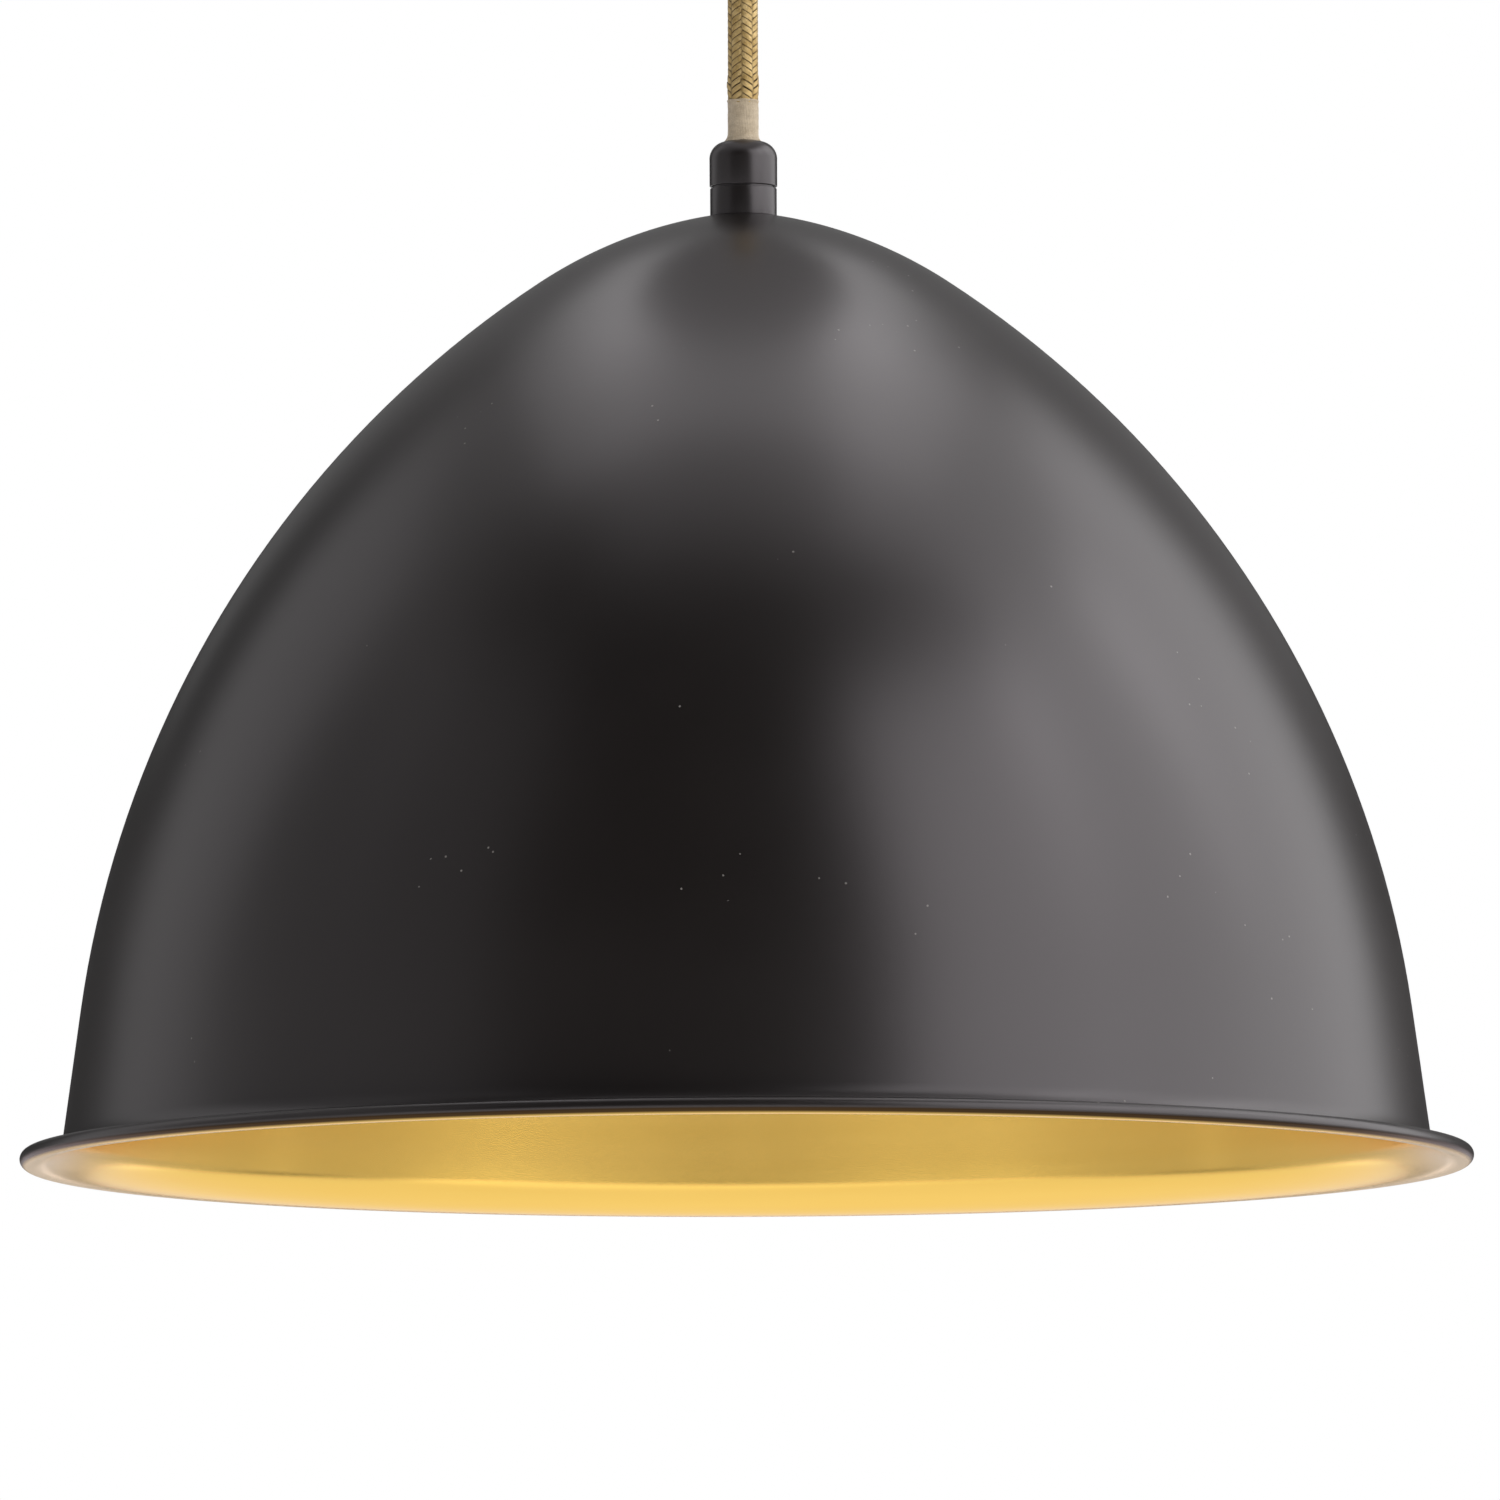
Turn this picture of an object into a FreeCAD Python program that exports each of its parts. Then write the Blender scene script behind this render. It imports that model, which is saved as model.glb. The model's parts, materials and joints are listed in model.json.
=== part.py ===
import FreeCAD, Part
import math
import operator
import os
import types
import Sketcher

Vector = FreeCAD.Vector

# Driving dimensions in millimetres and degrees. Depths are measured down from the ceiling plane.
SIZES = [
    ("canopyRadius", 63.5, "ceiling canopy, outside"),
    ("canopyHeight", 25, "ceiling canopy, ceiling to underside"),
    ("canopyWall", 1, "ceiling canopy, sheet thickness"),
    ("canopyCorner", 8, "ceiling canopy, lower corner radius"),
    ("barLength", 112, "crossbar, length"),
    ("barWidth", 16, "crossbar, width"),
    ("barThick", 1.6, "crossbar, thickness"),
    ("boxSpacing", 88.9, "ceiling box screws, centre to centre"),
    ("slotLength", 14, "crossbar slot, end to end"),
    ("slotRadius", 2.4, "crossbar slot, half width"),
    ("studSpacing", 50.8, "canopy studs, centre to centre"),
    ("studRadius", 2, "canopy stud, radius"),
    ("studLength", 31, "canopy stud, length"),
    ("studNutRadius", 6, "knurled nut, radius"),
    ("studNutHeight", 8, "knurled nut, height"),
    ("knurlRadius", 0.45, "knurled nut, radius of one groove"),
    ("knurlCount", 24, "knurled nut, number of grooves"),
    ("groundOffset", 33.5, "ground screw, from the centre of the crossbar"),
    ("groundRadius", 1.7, "ground screw, shank radius"),
    ("groundHeadRadius", 4, "ground screw, head radius"),
    ("groundHeadHeight", 2.2, "ground screw, head height"),
    ("slip", 0.05, "radial clearance between pieces screwed together"),
    ("play", 0.3, "gap between pieces that move past each other"),
    ("nippleRadius", 5, "threaded tube, outside"),
    ("nippleBore", 3.6, "threaded tube, bore"),
    ("nippleGrip", 7, "threaded tube, length inside a cord grip"),
    ("holeRadius", 5.2, "hole that a threaded tube passes through"),
    ("ceilingNippleTop", 15, "upper threaded tube, depth of its top"),
    ("washerRadius", 9, "flat washer, radius"),
    ("washerThick", 1.2, "washers, thickness"),
    ("lockRadius", 8.2, "split washer, radius"),
    ("lockGap", 1.6, "split washer, width of its gap"),
    ("nutAcross", 14, "hexagon nut, across flats"),
    ("nutHeight", 4, "hexagon nut, height"),
    ("gripRadius", 9.35, "cord grip body, radius"),
    ("gripBodyHeight", 8, "cord grip body, height below its groove"),
    ("grooveHeight", 0.5, "groove between grip body and cap"),
    ("grooveDepth", 0.7, "groove between grip body and cap"),
    ("spigotRadius", 8, "cord grip spigot, radius"),
    ("spigotHeight", 5.5, "cord grip spigot, height"),
    ("spigotChamfer", 1.5, "cord grip spigot, width of its sloping top"),
    ("spigotTaper", 4, "cord grip spigot, depth of its sloping top"),
    ("colletTip", 0.3, "collet, thickness of its thin end"),
    ("colletTaper", 3.8, "collet, length of its lower cone"),
    ("colletInset", 1.6, "collet, distance inside the spigot's radius"),
    ("colletRise", 1.8, "collet, length of its upper cone"),
    ("capRadius", 9.5, "cord grip cap, radius"),
    ("capHeight", 12.7, "cord grip cap, height"),
    ("capShoulder", 5.2, "cord grip cap, height of its rounded shoulder"),
    ("capShoulderRadius", 4.9, "cord grip cap, shoulder radius"),
    ("neckFlatRadius", 5.25, "lower cord grip cap, radius of its flat top"),
    ("neckMouthRadius", 4.85, "lower cord grip cap, mouth radius"),
    ("bellFlatRadius", 7, "upper cord grip cap, radius of its flat face"),
    ("bellMouthRadius", 4.75, "upper cord grip cap, mouth radius"),
    ("bellRound", 1.5, "upper cord grip cap, rounding of the mouth"),
    ("cordRadius", 4.3, "braided cord, radius"),
    ("jacketRadius", 3.25, "cord without its braid, radius"),
    ("sleeveRadius", 4.4, "sleeve over the braid's end, radius"),
    ("sleeveBore", 3.3, "sleeve over the braid's end, bore"),
    ("sleeveLength", 11.6, "sleeve over the braid's end, length"),
    ("lowerFlexDepth", 95, "depth of the point where the cord meets the lower grip"),
    ("upperJacketTop", 14.5, "depth of the jacket's upper end"),
    ("lowerJacketEnd", 138, "depth of the jacket's lower end"),
    ("wireRadius", 1, "insulated conductor, radius"),
    ("wireRing", 2.1, "conductors, distance from the cord's axis"),
    ("wireDepth", 10, "conductors in the canopy, depth"),
    ("wireBend", 3, "conductors, bend radius"),
    ("wireReach", 16, "conductors in the canopy, distance to their connectors"),
    ("connectorRadius", 5.5, "wire connector, mouth radius"),
    ("connectorTip", 3.4, "wire connector, tip radius"),
    ("connectorLength", 20, "wire connector, length"),
    ("rimRadius", 203.2, "shade, greatest radius"),
    ("beadRadius", 2.35, "shade, radius of the rolled bead"),
    ("shadeWall", 0.9, "shade, sheet thickness"),
    ("shadeHeight", 264.9, "shade, height of its seat above the bead's middle"),
    ("beadTurn", 192, "shade, angle of the bead's free edge, from its outermost point"),
    ("flareRadius", 10.03, "shade, outside radius of the turn from wall to bead"),
    ("wallLean", 8, "shade, lean of the straight wall from vertical"),
    ("wallLength", 34.97, "shade, length of the straight wall"),
    ("sideRadius", 294, "shade, radius of the side"),
    ("crownStart", 56.3, "shade, angle of the normal where the crown starts"),
    ("crownRadius", 127.2, "shade, radius of the crown"),
    ("seatRadius", 9.35, "shade, radius of the flat seat under the neck"),
    ("holderRadius", 20, "lamp holder, radius"),
    ("holderHub", 8, "lamp holder, radius of its hub"),
    ("holderHubHeight", 10, "lamp holder, height of its hub"),
    ("holderGap", 0.5, "gap between the shade's nut and the lamp holder"),
    ("holderCapHeight", 24, "lamp holder cap, height"),
    ("holderDrape", 10.5, "lamp holder cap, radius of its shoulder"),
    ("holderWall", 1.7, "lamp holder cap, wall"),
    ("holderBodyHeight", 36, "lamp holder body, height"),
    ("holderRoom", 5, "lamp holder body, depth of its wiring recess"),
    ("holderFloor", 4, "lamp holder body, thickness of its floor"),
    ("setScrewRadius", 1.5, "set screw, radius"),
    ("setScrewLength", 3.6, "set screw, length"),
    ("shellBore", 13.4, "screw shell, bore"),
    ("shellWall", 0.4, "screw shell, sheet thickness"),
    ("shellDrop", 3.5, "screw shell, distance from the holder's floor"),
    ("shellHeight", 20, "screw shell, height"),
    ("contactRadius", 4, "centre contact, radius"),
    ("contactThick", 1.3, "centre contact, thickness"),
    ("terminalOffset", 10, "terminals, distance from the axis"),
    ("terminalRadius", 2.6, "terminal screw, head radius"),
    ("terminalHeight", 2.5, "terminal screw, head height"),
    ("lampRadius", 13.1, "lamp cap, radius"),
    ("lampCapHeight", 22, "lamp cap, height"),
    ("lampCapWall", 0.4, "lamp cap, sheet thickness"),
    ("lampCapTaper", 2, "lamp cap, height of its sloping shoulder"),
    ("lampCapInset", 1.5, "lamp cap, width of its sloping shoulder"),
    ("pipRadius", 4.8, "lamp contact, radius"),
    ("pipHeight", 1.2, "lamp contact, height"),
    ("insulatorHeight", 3.2, "lamp insulator, height"),
    ("insulatorEdge", 1, "lamp insulator, distance from the edges of the cap and the contact"),
    ("collarHeight", 30, "lamp collar, height"),
    ("collarFoot", 13.6, "lamp collar, radius at the cap"),
    ("collarTop", 24, "lamp collar, radius at the globe"),
    ("collarWall", 1.5, "lamp collar, wall"),
    ("collarFootHeight", 2, "lamp collar, height of its straight foot"),
    ("globeInset", 0.2, "gap between the collar's edge and the globe"),
    ("globeRadius", 30, "lamp globe, radius"),
    ("glassWall", 1, "lamp globe, wall"),
]

doc = FreeCAD.newDocument("PendantLight")
sheet = doc.addObject("Spreadsheet::Sheet", "Sizes")
nodes = []


class Size:
    """A length that carries its number and the sheet expression it comes from."""

    def __init__(self, value, text):
        self.value = value
        self.text = text

    def __add__(self, other):
        return combine(self, "+", other)

    def __radd__(self, other):
        return combine(other, "+", self)

    def __sub__(self, other):
        return combine(self, "-", other)

    def __rsub__(self, other):
        return combine(other, "-", self)

    def __mul__(self, other):
        return combine(self, "*", other)

    def __rmul__(self, other):
        return combine(other, "*", self)

    def __truediv__(self, other):
        return combine(self, "/", other)

    def __neg__(self):
        return combine(0, "-", self)


OPERATIONS = {"+": operator.add, "-": operator.sub, "*": operator.mul, "/": operator.truediv}


def asSize(number):
    return number if isinstance(number, Size) else Size(float(number), str(number))


def combine(first, sign, second):
    first = asSize(first)
    second = asSize(second)
    value = OPERATIONS[sign](first.value, second.value)
    return Size(value, "(%s %s %s)" % (first.text, sign, second.text))


def cosine(angle):
    return Size(math.cos(math.radians(angle.value)), "cos(%s)" % angle.text)


def sine(angle):
    return Size(math.sin(math.radians(angle.value)), "sin(%s)" % angle.text)


def root(square):
    return Size(math.sqrt(square.value), "sqrt(%s)" % square.text)


def fillSheet():
    """Write every driving dimension to the sheet and return them by name."""
    for row, (alias, value, note) in enumerate(SIZES, 1):
        sheet.set("A%d" % row, note)
        sheet.set("B%d" % row, str(value))
        sheet.setAlias("B%d" % row, alias)
    doc.recompute()
    return types.SimpleNamespace(
        **{alias: Size(float(sheet.get(alias)), "Sizes." + alias) for alias, value, note in SIZES})


size = fillSheet()


# ---- sketches ----

def originPlane(body, role):
    return next(plane for plane in body.Origin.OriginFeatures if plane.Role == role)


def newSketch(body, role):
    sketch = body.newObject("Sketcher::SketchObject", body.Name + "_sketch")
    sketch.AttachmentSupport = [(originPlane(body, role), "")]
    sketch.MapMode = "FlatFace"
    return sketch


def tie(sketch, constraint, dimension):
    index = sketch.addConstraint(constraint)
    sketch.setExpression("Constraints[%d]" % index, dimension.text)


def pin(sketch, geometry, point, x, y):
    """Hold a point at x, y from the sketch's origin, on either side of it."""
    for kind, axis, distance in (("DistanceX", -2, asSize(x)), ("DistanceY", -1, asSize(y))):
        if distance.value == 0:
            sketch.addConstraint(Sketcher.Constraint("PointOnObject", geometry, point, axis))
        elif distance.value > 0:
            rule = Sketcher.Constraint(kind, -1, 1, geometry, point, distance.value)
            tie(sketch, rule, distance)
        else:
            rule = Sketcher.Constraint(kind, geometry, point, -1, 1, -distance.value)
            tie(sketch, rule, -distance)


def arcBetween(start, end, radius, side, wide):
    """An arc of circle from start to end; side 1 turns left, -1 turns right."""
    middle = (start + end) * 0.5
    chord = end - start
    left = Vector(-chord.y, chord.x, 0).normalize()
    rise = math.sqrt(radius ** 2 - (chord.Length / 2) ** 2)
    centre = middle + left * (rise * side * (-1 if wide else 1))
    first, last = (start, end) if side > 0 else (end, start)
    angles = [math.atan2(p.y - centre.y, p.x - centre.x) for p in (first, last)]
    if angles[1] < angles[0]:
        angles[1] += 2 * math.pi
    return Part.ArcOfCircle(Part.Circle(centre, Vector(0, 0, 1), radius), angles[0], angles[1])


def drawOutline(sketch, corners):
    """Draw a closed outline whose corners are pinned to the sheet.

    A corner is (x, y), reached by a straight line, or (x, y, radius, side) or
    (x, y, radius, side, "wide"), reached by an arc that turns left (1) or right (-1).
    """
    points = [Vector(asSize(c[0]).value, asSize(c[1]).value, 0) for c in corners]
    ends = []
    for index, start in enumerate(points):
        corner = corners[(index + 1) % len(corners)]
        end = points[(index + 1) % len(corners)]
        if len(corner) == 2:
            edge = sketch.addGeometry(Part.LineSegment(start, end), False)
            ends.append((edge, 1, 2))
            continue
        radius = asSize(corner[2])
        arc = arcBetween(start, end, radius.value, corner[3], len(corner) > 4)
        edge = sketch.addGeometry(arc, False)
        ends.append((edge, 1, 2) if corner[3] > 0 else (edge, 2, 1))
        tie(sketch, Sketcher.Constraint("Radius", edge, radius.value), radius)
    for index, (edge, first, last) in enumerate(ends):
        pin(sketch, edge, first, corners[index][0], corners[index][1])
        following, start, unused = ends[(index + 1) % len(ends)]
        sketch.addConstraint(Sketcher.Constraint("Coincident", edge, last, following, start))


def drawCircle(sketch, x, y, radius):
    radius = asSize(radius)
    centre = Vector(asSize(x).value, asSize(y).value, 0)
    circle = sketch.addGeometry(Part.Circle(centre, Vector(0, 0, 1), radius.value), False)
    pin(sketch, circle, 3, x, y)
    tie(sketch, Sketcher.Constraint("Radius", circle, radius.value), radius)


def drawSlot(sketch, x, length, radius):
    """A slot along X, centred on x: two half circles joined by two lines."""
    reach = length / 2 - radius
    arcs = []
    for side in (1, -1):
        centre = Vector((x + side * reach).value, 0, 0)
        circle = Part.Circle(centre, Vector(0, 0, 1), radius.value)
        start = -side * math.pi / 2
        arc = sketch.addGeometry(Part.ArcOfCircle(circle, start, start + math.pi), False)
        pin(sketch, arc, 3, x + side * reach, 0)
        tie(sketch, Sketcher.Constraint("Radius", arc, radius.value), radius)
        for end in (1, 2):
            sketch.addConstraint(Sketcher.Constraint("Vertical", arc, end, arc, 3))
        arcs.append(arc)
    right, left = arcs
    for first, last, y in ((right, left, radius.value), (left, right, -radius.value)):
        ends = [Vector(sketch.getPoint(arc, end).x, y, 0) for arc, end in ((first, 2), (last, 1))]
        line = sketch.addGeometry(Part.LineSegment(*ends), False)
        sketch.addConstraint(Sketcher.Constraint("Coincident", line, 1, first, 2))
        sketch.addConstraint(Sketcher.Constraint("Coincident", line, 2, last, 1))


# ---- solids ----

def keep(piece, label):
    """Give a finished sub-part its name and put it on the list of files to write."""
    piece.Label = label
    nodes.append(piece)
    return piece


def place(piece, height, flipped=False, x=0, y=0):
    """Put a piece's own origin at x, y and at a height above the ceiling plane."""
    turn = FreeCAD.Rotation(Vector(1, 0, 0), 180 if flipped else 0)
    spot = Vector(asSize(x).value, asSize(y).value, asSize(height).value)
    piece.Placement = FreeCAD.Placement(spot, turn)
    for axis, distance in (("x", x), ("y", y), ("z", height)):
        if isinstance(distance, Size):
            piece.setExpression("Placement.Base." + axis, distance.text)
    return piece


def turned(name, outline):
    """A body made by turning a half section about its own Z axis."""
    body = doc.addObject("PartDesign::Body", name)
    sketch = newSketch(body, "XZ_Plane")
    drawOutline(sketch, outline)
    solid = body.newObject("PartDesign::Revolution", name + "_turn")
    solid.Profile = sketch
    solid.ReferenceAxis = (sketch, ["V_Axis"])
    solid.Angle = 360
    body.Tip = solid
    return body


def padded(name, draw, thickness):
    """A body made by raising a sketch on its XY plane."""
    body = doc.addObject("PartDesign::Body", name)
    sketch = newSketch(body, "XY_Plane")
    draw(sketch)
    solid = body.newObject("PartDesign::Pad", name + "_pad")
    solid.Profile = sketch
    solid.setExpression("Length", asSize(thickness).text)
    body.Tip = solid
    return body


def cut(body, role, draw, depth=None, backwards=False):
    """Cut a sketch into a body, through it all or to a depth, and check that it cut."""
    doc.recompute()
    before = body.Shape.Volume
    sketch = newSketch(body, role)
    draw(sketch)
    pocket = body.newObject("PartDesign::Pocket", body.Name + "_cut")
    pocket.Profile = sketch
    pocket.Type = "ThroughAll" if depth is None else "Length"
    if depth is not None:
        pocket.setExpression("Length", asSize(depth).text)
    pocket.Reversed = backwards
    body.Tip = pocket
    doc.recompute()
    if body.Shape.Volume >= before - 1e-6:
        raise RuntimeError(body.Name + ": a pocket cuts nothing")
    return pocket


def aroundAxis(body, feature, count):
    """Repeat a feature round the body's Z axis."""
    pattern = body.newObject("PartDesign::PolarPattern", body.Name + "_pattern")
    pattern.Originals = [feature]
    pattern.Axis = (feature.Profile[0], ["N_Axis"])
    pattern.Angle = 360
    pattern.setExpression("Occurrences", count.text)
    body.Tip = pattern
    return pattern


def mirrored(name, source):
    """The piece and its mirror image across the YZ plane, as one group of two solids."""
    twin = doc.addObject("Part::Mirroring", name + "_twin")
    twin.Source = source
    twin.Normal = Vector(1, 0, 0)
    group = doc.addObject("Part::Compound", name)
    group.Links = [source, twin]
    return keep(group, name)


def tube(name, route, radius):
    """A round rod along straight runs joined by tangent arcs."""
    rod = doc.addObject("Part::Feature", name)
    edges = []
    for shape in route:
        edges.append(shape.toShape())
    path = Part.Wire(edges)
    start = edges[0].valueAt(edges[0].FirstParameter)
    ahead = edges[0].tangentAt(edges[0].FirstParameter)
    section = Part.Wire([Part.Circle(start, ahead, radius).toShape()])
    rod.Shape = path.makePipeShell([section], True, True)
    drift = rod.Shape.Volume / (math.pi * radius ** 2 * path.Length) - 1
    if abs(drift) > 0.02:
        raise RuntimeError("%s: volume is off by %.1f%%" % (name, drift * 100))
    return rod


# ---- heights that several sub-parts share ----

gripHeight = size.gripBodyHeight + size.grooveHeight + size.capHeight
upperFlexDepth = size.canopyHeight + gripHeight
crownDepth = size.lowerFlexDepth + gripHeight
underCrown = crownDepth + size.shadeWall
lockTop = underCrown + size.washerThick
nutTop = lockTop + size.washerThick
holderTop = nutTop + size.nutHeight + size.holderGap
holderJoin = holderTop + size.holderCapHeight
holderFloorTop = holderJoin + size.holderRoom
holderFloorUnder = holderFloorTop + size.holderFloor
lampTop = holderFloorUnder + size.contactThick + size.play
insulatorTop = lampTop + size.pipHeight
lampCapTop = insulatorTop + size.insulatorHeight
collarTop = lampCapTop + size.lampCapHeight
globeTop = collarTop + size.collarHeight
rimDepth = crownDepth + size.shadeHeight


# ---- ceiling mount ----

def crossbar():
    half = size.barLength / 2
    edge = size.barWidth / 2

    def draw(sketch):
        drawOutline(sketch, [(-half, -edge), (half, -edge), (half, edge), (-half, edge)])
        for side in (-1, 1):
            drawSlot(sketch, side * size.boxSpacing / 2, size.slotLength, size.slotRadius)
            drawCircle(sketch, side * size.studSpacing / 2, 0, size.studRadius + size.slip)
        drawCircle(sketch, 0, 0, size.holeRadius)
        drawCircle(sketch, size.groundOffset, 0, size.groundRadius + size.slip)

    return keep(place(padded("crossbar", draw, size.barThick), -size.barThick), "crossbar")


def groundScrew():
    screw = turned("ground_screw", [
        (0, 0), (size.groundHeadRadius, 0), (size.groundHeadRadius, size.groundHeadHeight),
        (size.groundRadius, size.groundHeadHeight),
        (size.groundRadius, size.groundHeadHeight + size.barThick),
        (0, size.groundHeadHeight + size.barThick)])
    place(screw, -(size.barThick + size.groundHeadHeight), x=size.groundOffset)
    return keep(screw, "ground_screw")


def canopy():
    radius = size.canopyRadius
    wall = size.canopyWall
    corner = size.canopyCorner
    shell = turned("canopy", [
        (size.holeRadius, 0), (radius - corner, 0), (radius, corner, corner, 1),
        (radius, size.canopyHeight), (radius - wall, size.canopyHeight), (radius - wall, corner),
        (radius - corner, wall, corner - wall, -1), (size.holeRadius, wall)])

    def draw(sketch):
        for side in (-1, 1):
            drawCircle(sketch, side * size.studSpacing / 2, 0, size.studRadius + size.play)

    cut(shell, "XY_Plane", draw, depth=2 * wall, backwards=True)
    place(shell, -size.canopyHeight)
    return keep(shell, "canopy")


def canopyStuds():
    stud = doc.addObject("Part::Cylinder", "canopy_stud")
    stud.setExpression("Radius", size.studRadius.text)
    stud.setExpression("Height", size.studLength.text)
    place(stud, -size.studLength, x=size.studSpacing / 2)
    return mirrored("canopy_studs", stud)


def canopyNuts():
    radius = size.studNutRadius
    height = size.studNutHeight
    dome = radius / 3
    bore = size.studRadius + size.slip
    nut = turned("canopy_nut", [
        (bore, dome), (0, dome), (0, 0), (radius - dome, 0), (radius, dome, dome, 1),
        (radius, height), (bore, height)])

    def draw(sketch):
        drawCircle(sketch, radius, 0, size.knurlRadius)

    groove = cut(nut, "XY_Plane", draw, backwards=True)
    aroundAxis(nut, groove, size.knurlCount)
    place(nut, -(size.canopyHeight + height), x=size.studSpacing / 2)
    return mirrored("canopy_nuts", nut)


# ---- cord grips, one at the ceiling and its mirror image at the neck ----

def threadedTube(name, top, length):
    pipe = turned(name, [
        (size.nippleBore, 0), (size.nippleRadius, 0), (size.nippleRadius, length),
        (size.nippleBore, length)])
    return keep(place(pipe, -(top + length)), name)


def gripBody(name, base, flipped):
    radius = size.gripRadius
    neck = size.gripBodyHeight
    groove = neck + size.grooveHeight
    top = groove + size.spigotHeight
    bore = size.nippleBore
    threads = size.nippleRadius + size.slip
    body = turned(name, [
        (threads, 0), (radius, 0), (radius, neck), (radius - size.grooveDepth, neck),
        (radius - size.grooveDepth, groove), (size.spigotRadius, groove), (size.spigotRadius, top),
        (size.spigotRadius - size.spigotChamfer, top), (bore, top - size.spigotTaper),
        (bore, size.nippleGrip),
        (threads, size.nippleGrip)])
    return keep(place(body, base, flipped), name)


def gripCap(name, base, flipped, flat, mouth, rounding):
    radius = size.capRadius
    foot = size.gripBodyHeight + size.grooveHeight
    top = foot + size.capHeight
    threads = size.spigotRadius + size.slip
    seat = foot + size.spigotHeight + size.play
    outline = [
        (threads, foot), (radius, foot), (radius, top - size.capShoulder),
        (flat, top, size.capShoulderRadius, 1)]
    if rounding is None:
        outline += [(mouth, top), (mouth, top - size.capShoulder / 2)]
    else:
        outline += [(mouth + rounding, top), (mouth, top - rounding, rounding, 1),
                    (mouth, top - size.capShoulder / 2)]
    outline += [(threads - 1, seat), (threads, seat)]
    return keep(place(turned(name, outline), base, flipped), name)


def gripCollet(name, base, flipped):
    """A split double cone that the cap squeezes onto the cord."""
    middle = size.gripBodyHeight + size.grooveHeight + size.spigotHeight
    bore = size.sleeveBore
    waist = size.spigotRadius - size.colletInset
    foot = middle - size.colletTaper
    top = middle + size.colletRise
    ring = turned(name, [
        (bore, foot), (bore + size.colletTip, foot), (waist, middle),
        (waist - size.colletTip, top), (bore, top)])
    slit = size.lockGap / 2

    def draw(sketch):
        drawOutline(sketch, [(bore - 1, -slit), (size.gripRadius, -slit), (size.gripRadius, slit),
                             (bore - 1, slit)])

    cut(ring, "XY_Plane", draw, backwards=True)
    return keep(place(ring, base, flipped), name)


def flatWasher(name, top):
    ring = turned(name, [
        (size.holeRadius, 0), (size.washerRadius, 0), (size.washerRadius, size.washerThick),
        (size.holeRadius, size.washerThick)])
    return keep(place(ring, -(top + size.washerThick)), name)


def splitWasher(name, top):
    ring = turned(name, [
        (size.holeRadius, 0), (size.lockRadius, 0), (size.lockRadius, size.washerThick),
        (size.holeRadius, size.washerThick)])
    half = size.lockGap / 2

    def draw(sketch):
        drawOutline(sketch, [(size.nippleRadius, -half), (size.washerRadius, -half),
                             (size.washerRadius, half), (size.nippleRadius, half)])

    cut(ring, "XY_Plane", draw, backwards=True)
    return keep(place(ring, -(top + size.washerThick)), name)


def hexagonNut(name, top):
    reach = size.nutAcross / math.sqrt(3)

    def draw(sketch):
        corners = []
        for index in range(6):
            angle = math.radians(60 * index)
            corners.append((reach * round(math.cos(angle), 9), reach * round(math.sin(angle), 9)))
        drawOutline(sketch, corners)
        drawCircle(sketch, 0, 0, size.nippleRadius + size.slip)

    nut = padded(name, draw, size.nutHeight)
    return keep(place(nut, -(top + size.nutHeight)), name)


# ---- cord ----

def cordDrop():
    """The hanging stretch: a ball end in the upper grip, the braid, and the jacket in the sleeve."""
    braid = size.cordRadius
    jacket = size.jacketRadius
    ball = size.sleeveRadius
    length = size.lowerFlexDepth - upperFlexDepth
    inside = size.sleeveLength
    dip = root(ball * ball - jacket * jacket)
    core = turned("cord_drop", [
        (0, -ball), (jacket, -dip, ball, 1), (jacket, inside), (braid, inside), (braid, length),
        (0, length + braid, braid, 1)])
    return keep(place(core, -size.lowerFlexDepth), "cord_drop")


def cordSleeve():
    outer = size.sleeveRadius
    inner = size.sleeveBore
    dip = root(outer * outer - inner * inner)
    sleeve = turned("cord_sleeve", [
        (inner, -dip), (outer, 0, outer, 1), (outer, size.sleeveLength), (inner, size.sleeveLength)])
    return keep(place(sleeve, -size.lowerFlexDepth), "cord_sleeve")


def cordStub(name, top, bottom):
    """A fixed stretch of the cord, without its braid, inside a grip."""
    stub = doc.addObject("Part::Cylinder", name)
    stub.setExpression("Radius", size.jacketRadius.text)
    stub.setExpression("Height", (bottom - top).text)
    return keep(place(stub, -bottom), name)


# ---- conductors ----

def radial(angle, reach, height):
    turn = math.radians(angle)
    return Vector(math.cos(turn) * reach, math.sin(turn) * reach, height)


def ceilingWires():
    """Three conductors that leave the jacket upwards and turn outwards to their connectors."""
    start = size.wireRing.value
    low = -size.upperJacketTop.value
    high = -size.wireDepth.value
    bend = size.wireBend.value
    slant = bend * (1 - math.sqrt(0.5))
    for name, angle in (("live", 30), ("neutral", 90), ("ground", 150)):
        rise = radial(angle, start, high - bend)
        turn = radial(angle, start + slant, high - slant)
        level = radial(angle, start + bend, high)
        route = [
            Part.LineSegment(radial(angle, start, low), rise),
            Part.Arc(rise, turn, level),
            Part.LineSegment(level, radial(angle, size.wireReach.value, high))]
        label = "ceiling_%s_wire" % name
        keep(tube(label, route, size.wireRadius.value), label)


def wireConnectors():
    cones = []
    for angle in (30, 90, 150):
        cone = doc.addObject("Part::Cone", "wire_connector")
        cone.setExpression("Radius1", size.connectorRadius.text)
        cone.setExpression("Radius2", size.connectorTip.text)
        cone.setExpression("Height", size.connectorLength.text)
        mouth = radial(angle, size.wireReach.value, -size.wireDepth.value)
        outwards = FreeCAD.Rotation(Vector(0, 0, 1), radial(angle, 1, 0))
        cone.Placement = FreeCAD.Placement(mouth, outwards)
        cones.append(cone)
    group = doc.addObject("Part::Compound", "wire_connectors")
    group.Links = cones
    return keep(group, "wire_connectors")


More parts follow.
